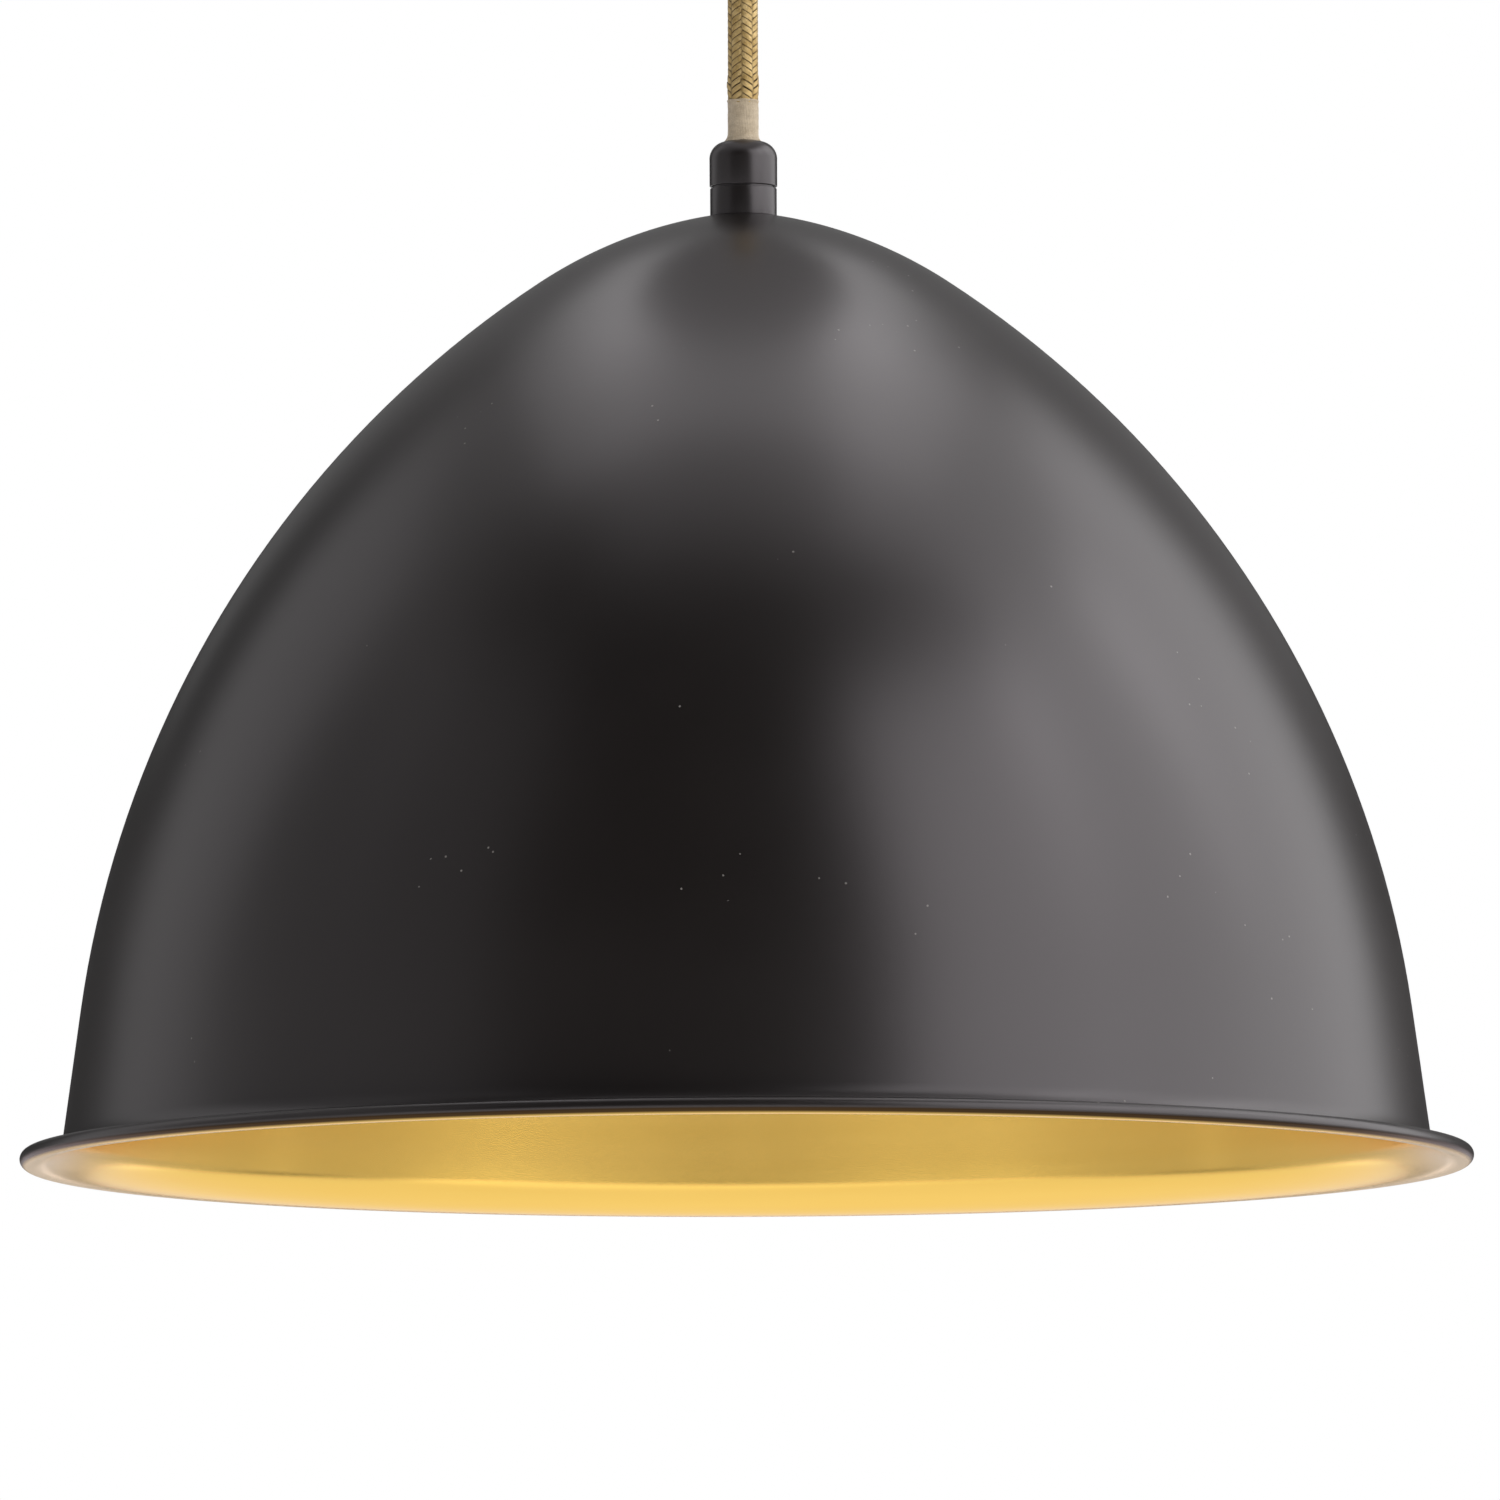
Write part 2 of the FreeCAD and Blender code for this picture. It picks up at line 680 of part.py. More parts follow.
def holderWires():
    """Three conductors from the jacket's lower end down to the three terminals."""
    start = size.wireRing.value
    top = -size.lowerJacketEnd.value
    low = -(holderFloorTop - size.terminalHeight).value
    bend = size.wireBend.value
    reach = size.terminalOffset.value
    slant = bend * (1 - math.sqrt(0.5))
    level = (top + low) / 2
    for name, angle in (("live", 0), ("neutral", 120), ("ground", 240)):
        first = [radial(angle, start, level + bend), radial(angle, start + slant, level + slant),
                 radial(angle, start + bend, level)]
        second = [radial(angle, reach - bend, level), radial(angle, reach - slant, level - slant),
                  radial(angle, reach, level - bend)]
        route = [
            Part.LineSegment(radial(angle, start, top), first[0]), Part.Arc(*first),
            Part.LineSegment(first[2], second[0]), Part.Arc(*second),
            Part.LineSegment(second[2], radial(angle, reach, low))]
        label = "holder_%s_wire" % name
        keep(tube(label, route, size.wireRadius.value), label)


# ---- shade ----

def along(point, angle, distance):
    """The point reached by going a distance from a point along the normal at an angle."""
    return (point[0] + distance * cosine(angle), point[1] + distance * sine(angle))


def shade():
    """Spun dome with a straight wall that flares out and ends in a hollow bead, rolled upwards."""
    wall = size.shadeWall
    lean = size.wallLean
    bead = size.beadRadius
    beadCentre = size.rimRadius - bead
    hollow = bead - wall
    beadEnd = along((beadCentre, 0), size.beadTurn, bead)
    beadInnerEnd = along((beadCentre, 0), size.beadTurn, hollow)
    flareCentre = (beadCentre, size.flareRadius - hollow)
    foot = along(flareCentre, lean, -size.flareRadius)
    wallTop = (foot[0] - size.wallLength * sine(lean), foot[1] + size.wallLength * cosine(lean))
    sideCentre = along(wallTop, lean, -size.sideRadius)
    shoulder = along(sideCentre, size.crownStart, size.sideRadius)
    crown = size.crownRadius
    seatHeight = size.shadeHeight
    innerFoot = along(foot, lean, -wall)
    innerWallTop = along(wallTop, lean, -wall)
    innerShoulder = along(shoulder, size.crownStart, -wall)
    dome = turned("shade", [
        (size.holeRadius, seatHeight - wall),
        (size.seatRadius, seatHeight - wall),
        (innerShoulder[0], innerShoulder[1], crown - wall, -1),
        (innerWallTop[0], innerWallTop[1], size.sideRadius - wall, -1),
        innerFoot,
        (beadCentre, -bead, size.flareRadius + wall, 1),
        (beadEnd[0], beadEnd[1], bead, 1, "wide"),
        beadInnerEnd,
        (beadCentre, -hollow, hollow, -1, "wide"),
        (foot[0], foot[1], size.flareRadius, -1),
        wallTop,
        (shoulder[0], shoulder[1], size.sideRadius, 1),
        (size.seatRadius, seatHeight, crown, 1),
        (size.holeRadius, seatHeight)])
    return keep(place(dome, -rimDepth), "shade")


# ---- lamp holder ----

def holderCap():
    radius = size.holderRadius
    wall = size.holderWall
    height = size.holderCapHeight
    hub = size.holderHub
    threads = size.nippleRadius + size.slip
    shoulder = height - size.holderHubHeight
    skirt = shoulder - size.holderHubHeight
    cap = turned("holder_cap", [
        (radius - wall, 0), (radius, 0), (radius, skirt),
        (hub, shoulder, size.holderDrape, 1), (hub, height), (threads, height),
        (threads, shoulder - wall / 2), (hub, shoulder - wall),
        (radius - wall, skirt, size.holderDrape - wall, -1)])

    def draw(sketch):
        drawCircle(sketch, 0, height - size.holderHubHeight / 2, size.setScrewRadius + size.slip)

    cut(cap, "YZ_Plane", draw, depth=radius, backwards=True)
    return keep(place(cap, -holderJoin), "holder_cap")


def setScrew():
    screw = doc.addObject("Part::Cylinder", "holder_set_screw")
    screw.setExpression("Radius", size.setScrewRadius.text)
    screw.setExpression("Height", size.setScrewLength.text)
    height = size.holderHubHeight / 2 + holderTop
    spot = Vector((size.nippleRadius + 2 * size.slip).value, 0, -height.value)
    screw.Placement = FreeCAD.Placement(spot, FreeCAD.Rotation(Vector(0, 1, 0), 90))
    screw.setExpression("Placement.Base.x", (size.nippleRadius + 2 * size.slip).text)
    screw.setExpression("Placement.Base.z", (-height).text)
    return keep(screw, "holder_set_screw")


def holderBody():
    radius = size.holderRadius
    wall = size.holderWall
    height = size.holderBodyHeight
    bore = size.shellBore + size.shellWall + size.slip
    top = height - size.holderRoom
    floor = top - size.holderFloor
    body = turned("holder_body", [
        (0, floor), (bore, floor), (bore, 0), (radius - wall, 0), (radius, wall, wall, 1),
        (radius, height), (radius - wall, height), (radius - wall, top), (0, top)])
    return keep(place(body, -(holderJoin + height)), "holder_body")


def screwShell():
    inner = size.shellBore
    outer = inner + size.shellWall
    height = size.shellHeight
    shell = turned("holder_shell", [(inner, 0), (outer, 0), (outer, height), (inner, height)])
    return keep(place(shell, -(holderFloorUnder + size.shellDrop + height)), "holder_shell")


def centreContact():
    contact = doc.addObject("Part::Cylinder", "holder_contact")
    contact.setExpression("Radius", size.contactRadius.text)
    contact.setExpression("Height", size.contactThick.text)
    return keep(place(contact, -(holderFloorUnder + size.contactThick)), "holder_contact")


def terminals():
    heads = []
    for angle in (0, 120, 240):
        head = doc.addObject("Part::Cylinder", "holder_terminal")
        head.setExpression("Radius", size.terminalRadius.text)
        head.setExpression("Height", size.terminalHeight.text)
        head.Placement.Base = radial(angle, size.terminalOffset.value, -holderFloorTop.value)
        head.setExpression("Placement.Base.z", (-holderFloorTop).text)
        heads.append(head)
    group = doc.addObject("Part::Compound", "holder_terminals")
    group.Links = heads
    return keep(group, "holder_terminals")


# ---- lamp ----

def lampContact():
    pip = turned("bulb_contact", [
        (0, 0), (size.pipRadius, 0), (size.pipRadius, size.pipHeight / 2),
        (size.pipRadius - size.pipHeight / 2, size.pipHeight, size.pipHeight / 2, 1),
        (0, size.pipHeight)])
    return keep(place(pip, -insulatorTop), "bulb_contact")


def lampInsulator():
    cone = turned("bulb_insulator", [
        (0, 0), (size.lampRadius - size.insulatorEdge, 0),
        (size.pipRadius + size.insulatorEdge, size.insulatorHeight), (0, size.insulatorHeight)])
    return keep(place(cone, -lampCapTop), "bulb_insulator")


def lampCap():
    radius = size.lampRadius
    wall = size.lampCapWall
    height = size.lampCapHeight
    top = height - size.slip
    shoulder = height - size.lampCapTaper
    crown = radius - size.lampCapInset
    cap = turned("bulb_cap", [
        (radius - wall, 0), (radius, 0), (radius, shoulder), (crown, top), (0, top),
        (0, top - wall), (crown - wall, top - wall), (radius - wall, shoulder - wall)])
    return keep(place(cap, -collarTop), "bulb_cap")


def lampCollar():
    foot = size.collarFoot
    top = size.collarTop
    height = size.collarHeight
    wall = size.collarWall
    ring = turned("bulb_collar", [
        (foot - wall, height), (top - wall, 0), (top, 0), (foot, height - size.collarFootHeight),
        (foot, height)])
    return keep(place(ring, -globeTop), "bulb_collar")


def lampGlobe():
    radius = size.globeRadius
    mouth = size.collarTop - size.globeInset
    wall = size.glassWall
    height = radius + root(radius * radius - mouth * mouth)
    globe = turned("bulb_globe", [
        (0, 0), (radius, radius, radius, 1), (mouth, height, radius, 1),
        (mouth - wall, height), (radius - wall, radius, radius - wall, -1),
        (0, wall, radius - wall, -1)])
    return keep(place(globe, -(globeTop + height)), "bulb_globe")


# Ceiling mount
crossbar()
groundScrew()
canopy()
canopyStuds()
canopyNuts()
threadedTube("ceiling_nipple", size.ceilingNippleTop,
             size.canopyHeight - size.ceilingNippleTop + size.nippleGrip)
splitWasher("ceiling_lock_washer", size.canopyHeight - size.canopyWall - size.washerThick)
hexagonNut("ceiling_nut",
           size.canopyHeight - size.canopyWall - size.washerThick - size.nutHeight)
gripBody("ceiling_grip_body", -size.canopyHeight, True)
gripCap("ceiling_grip_cap", -size.canopyHeight, True,
        size.bellFlatRadius, size.bellMouthRadius, size.bellRound)
gripCollet("ceiling_grip_collet", -size.canopyHeight, True)
cordStub("cord_upper", size.upperJacketTop, upperFlexDepth - size.cordRadius - size.play)
ceilingWires()
wireConnectors()

# Cord
cordDrop()
cordSleeve()

# Pendant
gripBody("neck_body", -crownDepth, False)
gripCap("neck_cap", -crownDepth, False, size.neckFlatRadius, size.neckMouthRadius, None)
gripCollet("neck_collet", -crownDepth, False)
cordStub("cord_lower", size.lowerFlexDepth + size.sleeveRadius + size.play, size.lowerJacketEnd)
threadedTube("neck_nipple", crownDepth - size.nippleGrip,
             size.nippleGrip + holderTop - crownDepth + size.holderHubHeight)
shade()
flatWasher("shade_washer", underCrown)
splitWasher("shade_lock_washer", lockTop)
hexagonNut("shade_nut", nutTop)
holderCap()
setScrew()
holderBody()
screwShell()
centreContact()
terminals()
holderWires()

# Lamp
lampContact()
lampInsulator()
lampCap()
lampCollar()
lampGlobe()

doc.recompute()

for item in doc.Objects:
    if "Invalid" in item.State or "Error" in item.State:
        raise RuntimeError("%s is %s" % (item.Name, item.State))
for node in nodes:
    if node.Shape.isNull() or not node.Shape.isValid():
        raise RuntimeError(node.Label + " has no valid shape")

os.makedirs("parts", exist_ok=True)
for node in nodes:
    node.Shape.exportStep("parts/%s.step" % node.Label)
    box = node.Shape.BoundBox
    print("%-22s solids %d volume %9.1f  z %8.2f to %8.2f" % (
        node.Label, len(node.Shape.Solids), node.Shape.Volume, box.ZMin, box.ZMax))
print(len(nodes), "nodes")
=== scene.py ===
import json
import math
import random

import bmesh
import bpy
from mathutils import Matrix, Vector, noise


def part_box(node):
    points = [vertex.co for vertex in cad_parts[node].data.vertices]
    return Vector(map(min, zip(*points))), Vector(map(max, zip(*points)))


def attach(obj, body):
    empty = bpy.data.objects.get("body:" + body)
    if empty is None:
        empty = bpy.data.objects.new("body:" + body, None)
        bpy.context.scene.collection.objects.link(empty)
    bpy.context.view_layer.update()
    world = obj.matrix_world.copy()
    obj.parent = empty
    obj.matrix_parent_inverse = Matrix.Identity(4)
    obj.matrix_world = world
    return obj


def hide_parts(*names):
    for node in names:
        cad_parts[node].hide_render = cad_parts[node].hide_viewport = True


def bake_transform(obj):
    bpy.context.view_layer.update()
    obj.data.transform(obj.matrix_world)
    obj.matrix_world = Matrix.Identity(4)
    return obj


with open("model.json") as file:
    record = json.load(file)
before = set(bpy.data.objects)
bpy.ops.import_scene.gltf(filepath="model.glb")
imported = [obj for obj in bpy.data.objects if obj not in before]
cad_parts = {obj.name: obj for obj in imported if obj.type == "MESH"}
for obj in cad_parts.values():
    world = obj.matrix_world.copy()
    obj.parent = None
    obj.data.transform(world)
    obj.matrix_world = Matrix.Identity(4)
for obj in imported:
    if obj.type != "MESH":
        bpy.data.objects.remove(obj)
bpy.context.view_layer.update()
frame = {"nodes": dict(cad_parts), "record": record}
mm = 0.001


def lowOf(node):
    return Vector(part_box(node)[0])


def highOf(node):
    return Vector(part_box(node)[1])


seatLevel = highOf("shade").z
beadRadius = 2.35 * mm
rimMiddle = lowOf("shade").z + beadRadius
print("frame loaded:", len(frame["nodes"]), "nodes")


# Camera

cameraSet = {"aim": (0.0013, 0, rimMiddle + 0.1147), "distance": 6.09, "below": 5.21, "lens": 522,
             "roll": 0.2}


def addCamera():
    below = math.radians(cameraSet["below"])
    aim = Vector(cameraSet["aim"])
    data = bpy.data.cameras.new("viewCamera")
    data.lens = cameraSet["lens"]
    data.sensor_width = 36
    data.clip_end = 60
    camera = bpy.data.objects.new("viewCamera", data)
    bpy.context.scene.collection.objects.link(camera)
    away = Vector((0, -math.cos(below), -math.sin(below)))
    camera.location = aim + away * cameraSet["distance"]
    turn = (-away).to_track_quat("-Z", "Y").to_matrix().to_4x4()
    roll = Matrix.Rotation(math.radians(-cameraSet["roll"]), 4, "Z")
    camera.rotation_euler = (turn @ roll).to_euler()
    bpy.context.scene.camera = camera
    bpy.context.scene.view_settings.view_transform = "Standard"


addCamera()


# Shader helpers: a value on a link, and the maker of every node

class Flow:
    def __init__(self, finish, socket):
        self.finish = finish
        self.socket = socket

    def sum(self, kind, first, second):
        return self.finish.node("ShaderNodeMath", {"operation": kind}, {0: first, 1: second})

    def __add__(self, other):
        return self.sum("ADD", self, other)

    def __radd__(self, other):
        return self.sum("ADD", other, self)

    def __sub__(self, other):
        return self.sum("SUBTRACT", self, other)

    def __rsub__(self, other):
        return self.sum("SUBTRACT", other, self)

    def __mul__(self, other):
        return self.sum("MULTIPLY", self, other)

    def __rmul__(self, other):
        return self.sum("MULTIPLY", other, self)

    def __gt__(self, other):
        return self.sum("GREATER_THAN", self, other)

    def __lt__(self, other):
        return self.sum("LESS_THAN", self, other)


class Finish:
    def __init__(self, name):
        self.material = bpy.data.materials.new(name)
        self.material.use_nodes = True
        self.tree = self.material.node_tree
        self.tree.nodes.clear()

    def node(self, kind, settings=None, sockets=None, out=0):
        made = self.tree.nodes.new(kind)
        for name, value in (settings or {}).items():
            setattr(made, name, value)
        for name, value in (sockets or {}).items():
            if isinstance(value, Flow):
                self.tree.links.new(value.socket, made.inputs[name])
            else:
                made.inputs[name].default_value = value
        return Flow(self, made.outputs[out]) if made.outputs else None

    def place(self, scale=(1, 1, 1)):
        spot = self.node("ShaderNodeTexCoord", None, None, "Object")
        return self.node("ShaderNodeMapping", None, {"Vector": spot, "Scale": scale})

    def grain(self, scale, detail=2.0, rough=0.5, stretch=(1, 1, 1)):
        sockets = {"Vector": self.place(stretch), "Scale": scale, "Detail": detail,
                   "Roughness": rough}
        return self.node("ShaderNodeTexNoise", None, sockets, "Fac")

    def cells(self, scale):
        sockets = {"Vector": self.place(), "Scale": scale}
        return self.node("ShaderNodeTexVoronoi", None, sockets, "Distance")

    def range(self, value, fromLow, fromHigh, toLow=0.0, toHigh=1.0):
        sockets = {0: value, 1: fromLow, 2: fromHigh, 3: toLow, 4: toHigh}
        return self.node("ShaderNodeMapRange", {"clamp": True}, sockets)

    def mix(self, factor, first, second):
        colours = [c if isinstance(c, Flow) else (*c, 1.0) for c in (first, second)]
        sockets = {0: factor, 6: colours[0], 7: colours[1]}
        return self.node("ShaderNodeMix", {"data_type": "RGBA"}, sockets, 2)

    def bump(self, height, distance, strength=1.0):
        sockets = {"Height": height, "Distance": distance, "Strength": strength}
        return self.node("ShaderNodeBump", None, sockets)

    def done(self, sockets):
        shader = self.node("ShaderNodeBsdfPrincipled", None, sockets)
        self.node("ShaderNodeOutputMaterial", None, {"Surface": shader})
        return self.material


# Finishes

bronzeSet = {"base": (0.0062, 0.0043, 0.0033), "worn": (0.0105, 0.0078, 0.0064), "ior": 1.8,
             "rough": 0.30, "sheen": (1.0, 0.935, 0.98, 1.0), "dust": (0.30, 0.28, 0.26),
             "warm": (0.052, 0.030, 0.014)}
goldSet = {"deep": (0.78, 0.488, 0.088), "light": (0.85, 0.562, 0.135), "rough": 0.20}
# diveShade is painted shade for where a float dives under the crossing yarns; glint is a painted
# highlight
yarnSet = {"diveShade": (0.045, 0.026, 0.010), "deep": (0.50, 0.33, 0.115),
           "light": (0.78, 0.57, 0.26), "glint": (0.95, 0.78, 0.46)}
clothSet = {"deep": (0.55, 0.43, 0.29), "light": (0.76, 0.63, 0.46), "fleck": (0.80, 0.69, 0.54)}
opalSet = {"deep": (0.86, 0.85, 0.81), "light": (0.92, 0.91, 0.88)}


def bronzeParts(paint, dusty):
    # colour, roughness and relief of the satin bronze; dusty is the share of specks kept
    cloud = paint.grain(9, 3)
    fine = paint.grain(2600, 2)
    tone = paint.mix(paint.range(cloud, 0.35, 0.7), bronzeSet["base"], bronzeSet["worn"])
    speck = (paint.cells(240) < 0.075) * (paint.grain(33, 1) > 1 - dusty)
    colour = paint.mix(speck * 0.7, tone, bronzeSet["dust"])
    rough = paint.range(cloud, 0.3, 0.75, bronzeSet["rough"] - 0.02, bronzeSet["rough"] + 0.03)
    return colour, rough + fine * 0.03, fine * 0.7 + paint.grain(420, 2) * 0.9 + speck * 2.0


def bronzePaint():
    paint = Finish("bronzePaint")
    colour, rough, relief = bronzeParts(paint, 0.34)
    return paint.done({"Base Color": colour, "Roughness": rough, "IOR": bronzeSet["ior"],
                       "Specular Tint": bronzeSet["sheen"], "Normal": paint.bump(relief, 0.00001)})


def shadeFinish():
    # bronze outside and gold inside: the mesh carries how far a point is into the gold
    paint = Finish("shadeFinish")
    inside = paint.node("ShaderNodeAttribute", {"attribute_name": "goldShare"}, None, "Fac")
    colour, rough, relief = bronzeParts(paint, 0.36)
    streak = paint.grain(5, 4, 0.6, (1, 1, 26))
    gold = paint.mix(streak, goldSet["deep"], goldSet["light"])
    edge = paint.range(inside, 0.0, 0.3)
    warm = paint.mix(edge, colour, bronzeSet["warm"])
    tone = paint.mix(paint.range(inside, 0.5, 0.95), warm, gold)
    goldRough = goldSet["rough"] + streak * 0.05
    satin = rough + (goldRough - rough) * inside
    lift = relief + (paint.grain(900, 3, 0.6, (1, 1, 6)) * 1.4 - relief) * inside
    return paint.done({"Base Color": tone, "Metallic": paint.range(inside, 0.0, 0.2),
                       "Roughness": satin, "IOR": bronzeSet["ior"],
                       "Specular Tint": bronzeSet["sheen"],
                       "Coat Weight": paint.range(inside, 0.6, 1.0, 0.0, 0.4),
                       "Coat Roughness": 0.2,
                       "Normal": paint.bump(lift, 0.00001)})


def metalFinish(name, base, dull, rough, grainScale, stretch=(1, 1, 1)):
    metal = Finish(name)
    cloud = metal.grain(160, 3, 0.6)
    line = metal.grain(grainScale, 3, 0.65, stretch)
    tone = metal.mix(metal.range(cloud, 0.35, 0.75), base, dull)
    return metal.done({"Base Color": tone, "Metallic": 1.0, "Roughness": line * 0.14 + rough,
                       "Normal": metal.bump(line + cloud * 0.5, 0.00002)})


def plasticFinish(name, base, tint, rough, relief, coat=0.0):
    plastic = Finish(name)
    cloud = plastic.grain(70, 3)
    fine = plastic.grain(1500, 2)
    tone = plastic.mix(plastic.range(cloud, 0.3, 0.75), base, tint)
    return plastic.done({"Base Color": tone, "Roughness": fine * 0.12 + rough, "IOR": 1.48,
                         "Coat Weight": coat, "Normal": plastic.bump(fine, relief)})


def braidFinish():
    # metallic yarn: painted glints along each float, painted shade where the floats dive under the
    # crossing yarns and along each float's edges
    yarn = Finish("braidGold")
    depth = yarn.node("ShaderNodeAttribute", {"attribute_name": "lift"}, None, "Fac")
    fibre = yarn.grain(2300, 3, 0.7)
    blotch = yarn.grain(420, 2)
    bright = yarn.mix(yarn.range(blotch, 0.35, 0.7), yarnSet["deep"], yarnSet["light"])
    # painted shade: darker where the lift is low, under the crossings and at the float edges
    tone = yarn.mix(yarn.range(depth, 0.1, 0.75), yarnSet["diveShade"], bright)
    # painted glints: a bright colour on the peaks of the fibre noise
    glint = yarn.mix(yarn.range(fibre, 0.62, 0.74), tone, yarnSet["glint"])
    return yarn.done({"Base Color": glint, "Metallic": 0.55, "Roughness": fibre * 0.3 + 0.36,
                      "Sheen Weight": 0.25, "Sheen Roughness": 0.4,
                      "Normal": yarn.bump(fibre, 0.00012)})


def wrapFinish():
    cloth = Finish("beigeWrap")
    fibre = cloth.grain(2600, 4, 0.75)
    band = cloth.grain(300, 3, 0.6, (1, 1, 3))
    cross = cloth.grain(900, 2, 0.6, (1, 1, 0.3))
    tone = cloth.mix(cloth.range(band, 0.3, 0.75), clothSet["deep"], clothSet["light"])
    fleck = cloth.mix(cloth.range(fibre, 0.52, 0.75), tone, clothSet["fleck"])
    return cloth.done({"Base Color": fleck, "Roughness": fibre * 0.1 + 0.82,
                       "Sheen Weight": 0.35, "Sheen Roughness": 0.5,
                       "Normal": cloth.bump(fibre + cross, 0.00022)})


def glassFinish():
    glass = Finish("opalGlass")
    cloud = glass.grain(40, 2)
    tone = glass.mix(cloud, opalSet["deep"], opalSet["light"])
    return glass.done({"Base Color": tone, "Roughness": cloud * 0.05 + 0.22, "IOR": 1.5,
                       "Subsurface Weight": 0.25, "Subsurface Scale": 0.004,
                       "Normal": glass.bump(glass.grain(300, 2), 0.00001)})


finishes = {
    "bronze_paint": bronzePaint(),
    "shade_finish": shadeFinish(),
    "braid_gold": braidFinish(),
    "beige_wrap": wrapFinish(),
    "opal_globe": glassFinish(),
    "zinc_steel": metalFinish("zincPlate", (0.55, 0.54, 0.51), (0.42, 0.41, 0.38), 0.27, 900),
    "socket_brass": metalFinish("pressedBrass", (0.66, 0.48, 0.20), (0.52, 0.36, 0.14), 0.22, 700),
    "holder_metal": metalFinish("satinBrass", (0.60, 0.45, 0.20), (0.50, 0.36, 0.15), 0.30, 500,
                                (1, 1, 12)),
    "lamp_cap_metal": metalFinish("rolledCap", (0.62, 0.62, 0.61), (0.48, 0.48, 0.47), 0.24, 800),
    "bronze_nut": metalFinish("darkNut", (0.050, 0.041, 0.035), (0.085, 0.066, 0.05), 0.30, 900),
    "green_screw": metalFinish("greenScrew", (0.05, 0.28, 0.12), (0.03, 0.18, 0.08), 0.30, 900),
    "collet_nylon": plasticFinish("nylonCollet", (0.66, 0.63, 0.56), (0.74, 0.71, 0.64), 0.42,
                                  0.00003),
    "cord_jacket": plasticFinish("cordJacket", (0.020, 0.018, 0.016), (0.034, 0.030, 0.027), 0.55,
                                 0.00005),
    "wire_black": plasticFinish("wireBlack", (0.010, 0.010, 0.010), (0.016, 0.016, 0.016), 0.24,
                                0.00002, 0.2),
    "wire_white": plasticFinish("wireWhite", (0.72, 0.72, 0.69), (0.78, 0.77, 0.74), 0.26,
                                0.00002, 0.2),
    "wire_green": plasticFinish("wireGreen", (0.015, 0.17, 0.04), (0.022, 0.22, 0.055), 0.26,
                                0.00002, 0.2),
    "connector_plastic": plasticFinish("connectorCap", (0.62, 0.22, 0.025), (0.70, 0.27, 0.04),
                                       0.38, 0.00004),
    "holder_phenolic": plasticFinish("darkPhenolic", (0.012, 0.010, 0.009), (0.022, 0.018, 0.016),
                                     0.34, 0.00003),
    "lamp_insulator": plasticFinish("blackGlass", (0.010, 0.010, 0.013), (0.018, 0.018, 0.022),
                                    0.10, 0.00002, 0.5),
    "lamp_collar": plasticFinish("whiteCollar", (0.74, 0.74, 0.71), (0.80, 0.80, 0.77), 0.40,
                                 0.00003),
}
print("finishes made:", len(finishes))


# Mesh helpers

def rounded(corners, steps=4):
    # a closed outline of (radius, height, rounding) with each corner turned into a small arc
    points = []
    for index, (radius, height, rounding) in enumerate(corners):
        corner = Vector((radius, height))
        if rounding == 0:
            points.append((radius, height))
            continue
        back = (Vector(corners[index - 1][:2]) - corner).normalized()
        ahead = (Vector(corners[(index + 1) % len(corners)][:2]) - corner).normalized()
        half = back.angle(ahead) / 2
        centre = corner + (back + ahead).normalized() * rounding / math.sin(half)
        first = (corner + back * rounding / math.tan(half) - centre).normalized()
        last = (corner + ahead * rounding / math.tan(half) - centre).normalized()
        for step in range(steps + 1):
            spot = centre + first.slerp(last, step / steps) * rounding
            points.append((spot.x, spot.y))
    return points


def arc(centre, radius, start, end, steps):
    # points along an arc, angles in degrees from the horizontal
    points = []
    for step in range(steps + 1):
        turn = math.radians(start + (end - start) * step / steps)
        points.append((centre[0] + radius * math.cos(turn), centre[1] + radius * math.sin(turn)))
    return points


def bentOver(side, lip, radius):
    # the middle and the two end angles of an arc of this radius from side over to lip
    chord = lip - side
    rise = math.sqrt(radius ** 2 - (chord.length / 2) ** 2)
    centre = (side + lip) / 2 + Vector((-chord.y, chord.x)).normalized() * rise
    start = math.degrees(math.atan2(side.y - centre.y, side.x - centre.x))
    end = math.degrees(math.atan2(lip.y - centre.y, lip.x - centre.x))
    return centre, start, end


def steppedLine(radius, start, end, step):
    count = max(2, round(abs(end - start) / step))
    return [(radius, start + (end - start) * index / count) for index in range(count + 1)]


def spin(made, outline, around=96, ripple=None, matrix=None):
    # turns a closed outline about its own Z axis into made, and returns its rings
    rings = []
    for radius, height in outline:
        if radius < 1e-7:
            rings.append([made.verts.new((0, 0, height))])
            continue
        ring = []
        for step in range(around):
            turn = 2 * math.pi * step / around
            r, z = ripple(radius, height, turn) if ripple else (radius, height)
            ring.append(made.verts.new((r * math.cos(turn), r * math.sin(turn), z)))
        rings.append(ring)
    for index, ring in enumerate(rings):
        other = rings[(index + 1) % len(rings)]
        for step in range(around):
            corners = [ring[step % len(ring)], ring[(step + 1) % len(ring)],
                       other[(step + 1) % len(other)], other[step % len(other)]]
            corners = list(dict.fromkeys(corners))
            if len(corners) > 2:
                made.faces.new(corners)
    if matrix is not None:
        bmesh.ops.transform(made, matrix=matrix, verts=[v for ring in rings for v in ring])
    return rings


def addPiece(name, made, slot, sharp=32):
    # closes a bmesh into an object with the finish of its slot
    bmesh.ops.recalc_face_normals(made, faces=made.faces[:])
    mesh = bpy.data.meshes.new(name)
    made.to_mesh(mesh)
    made.free()
    mesh.polygons.foreach_set("use_smooth", [True] * len(mesh.polygons))
    mesh.set_sharp_from_angle(angle=math.radians(sharp))
    mesh.materials.append(finishes[slot])
    piece = bpy.data.objects.new(name, mesh)
    bpy.context.scene.collection.objects.link(piece)
    return piece


def turnedPiece(name, outline, slot, body, *nodes, around=96, ripple=None, sharp=32):
    made = bmesh.new()
    spin(made, outline, around, ripple)
    piece = addPiece(name, made, slot, sharp)
    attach(piece, body)
    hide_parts(*nodes)
    return piece


# Braided cord

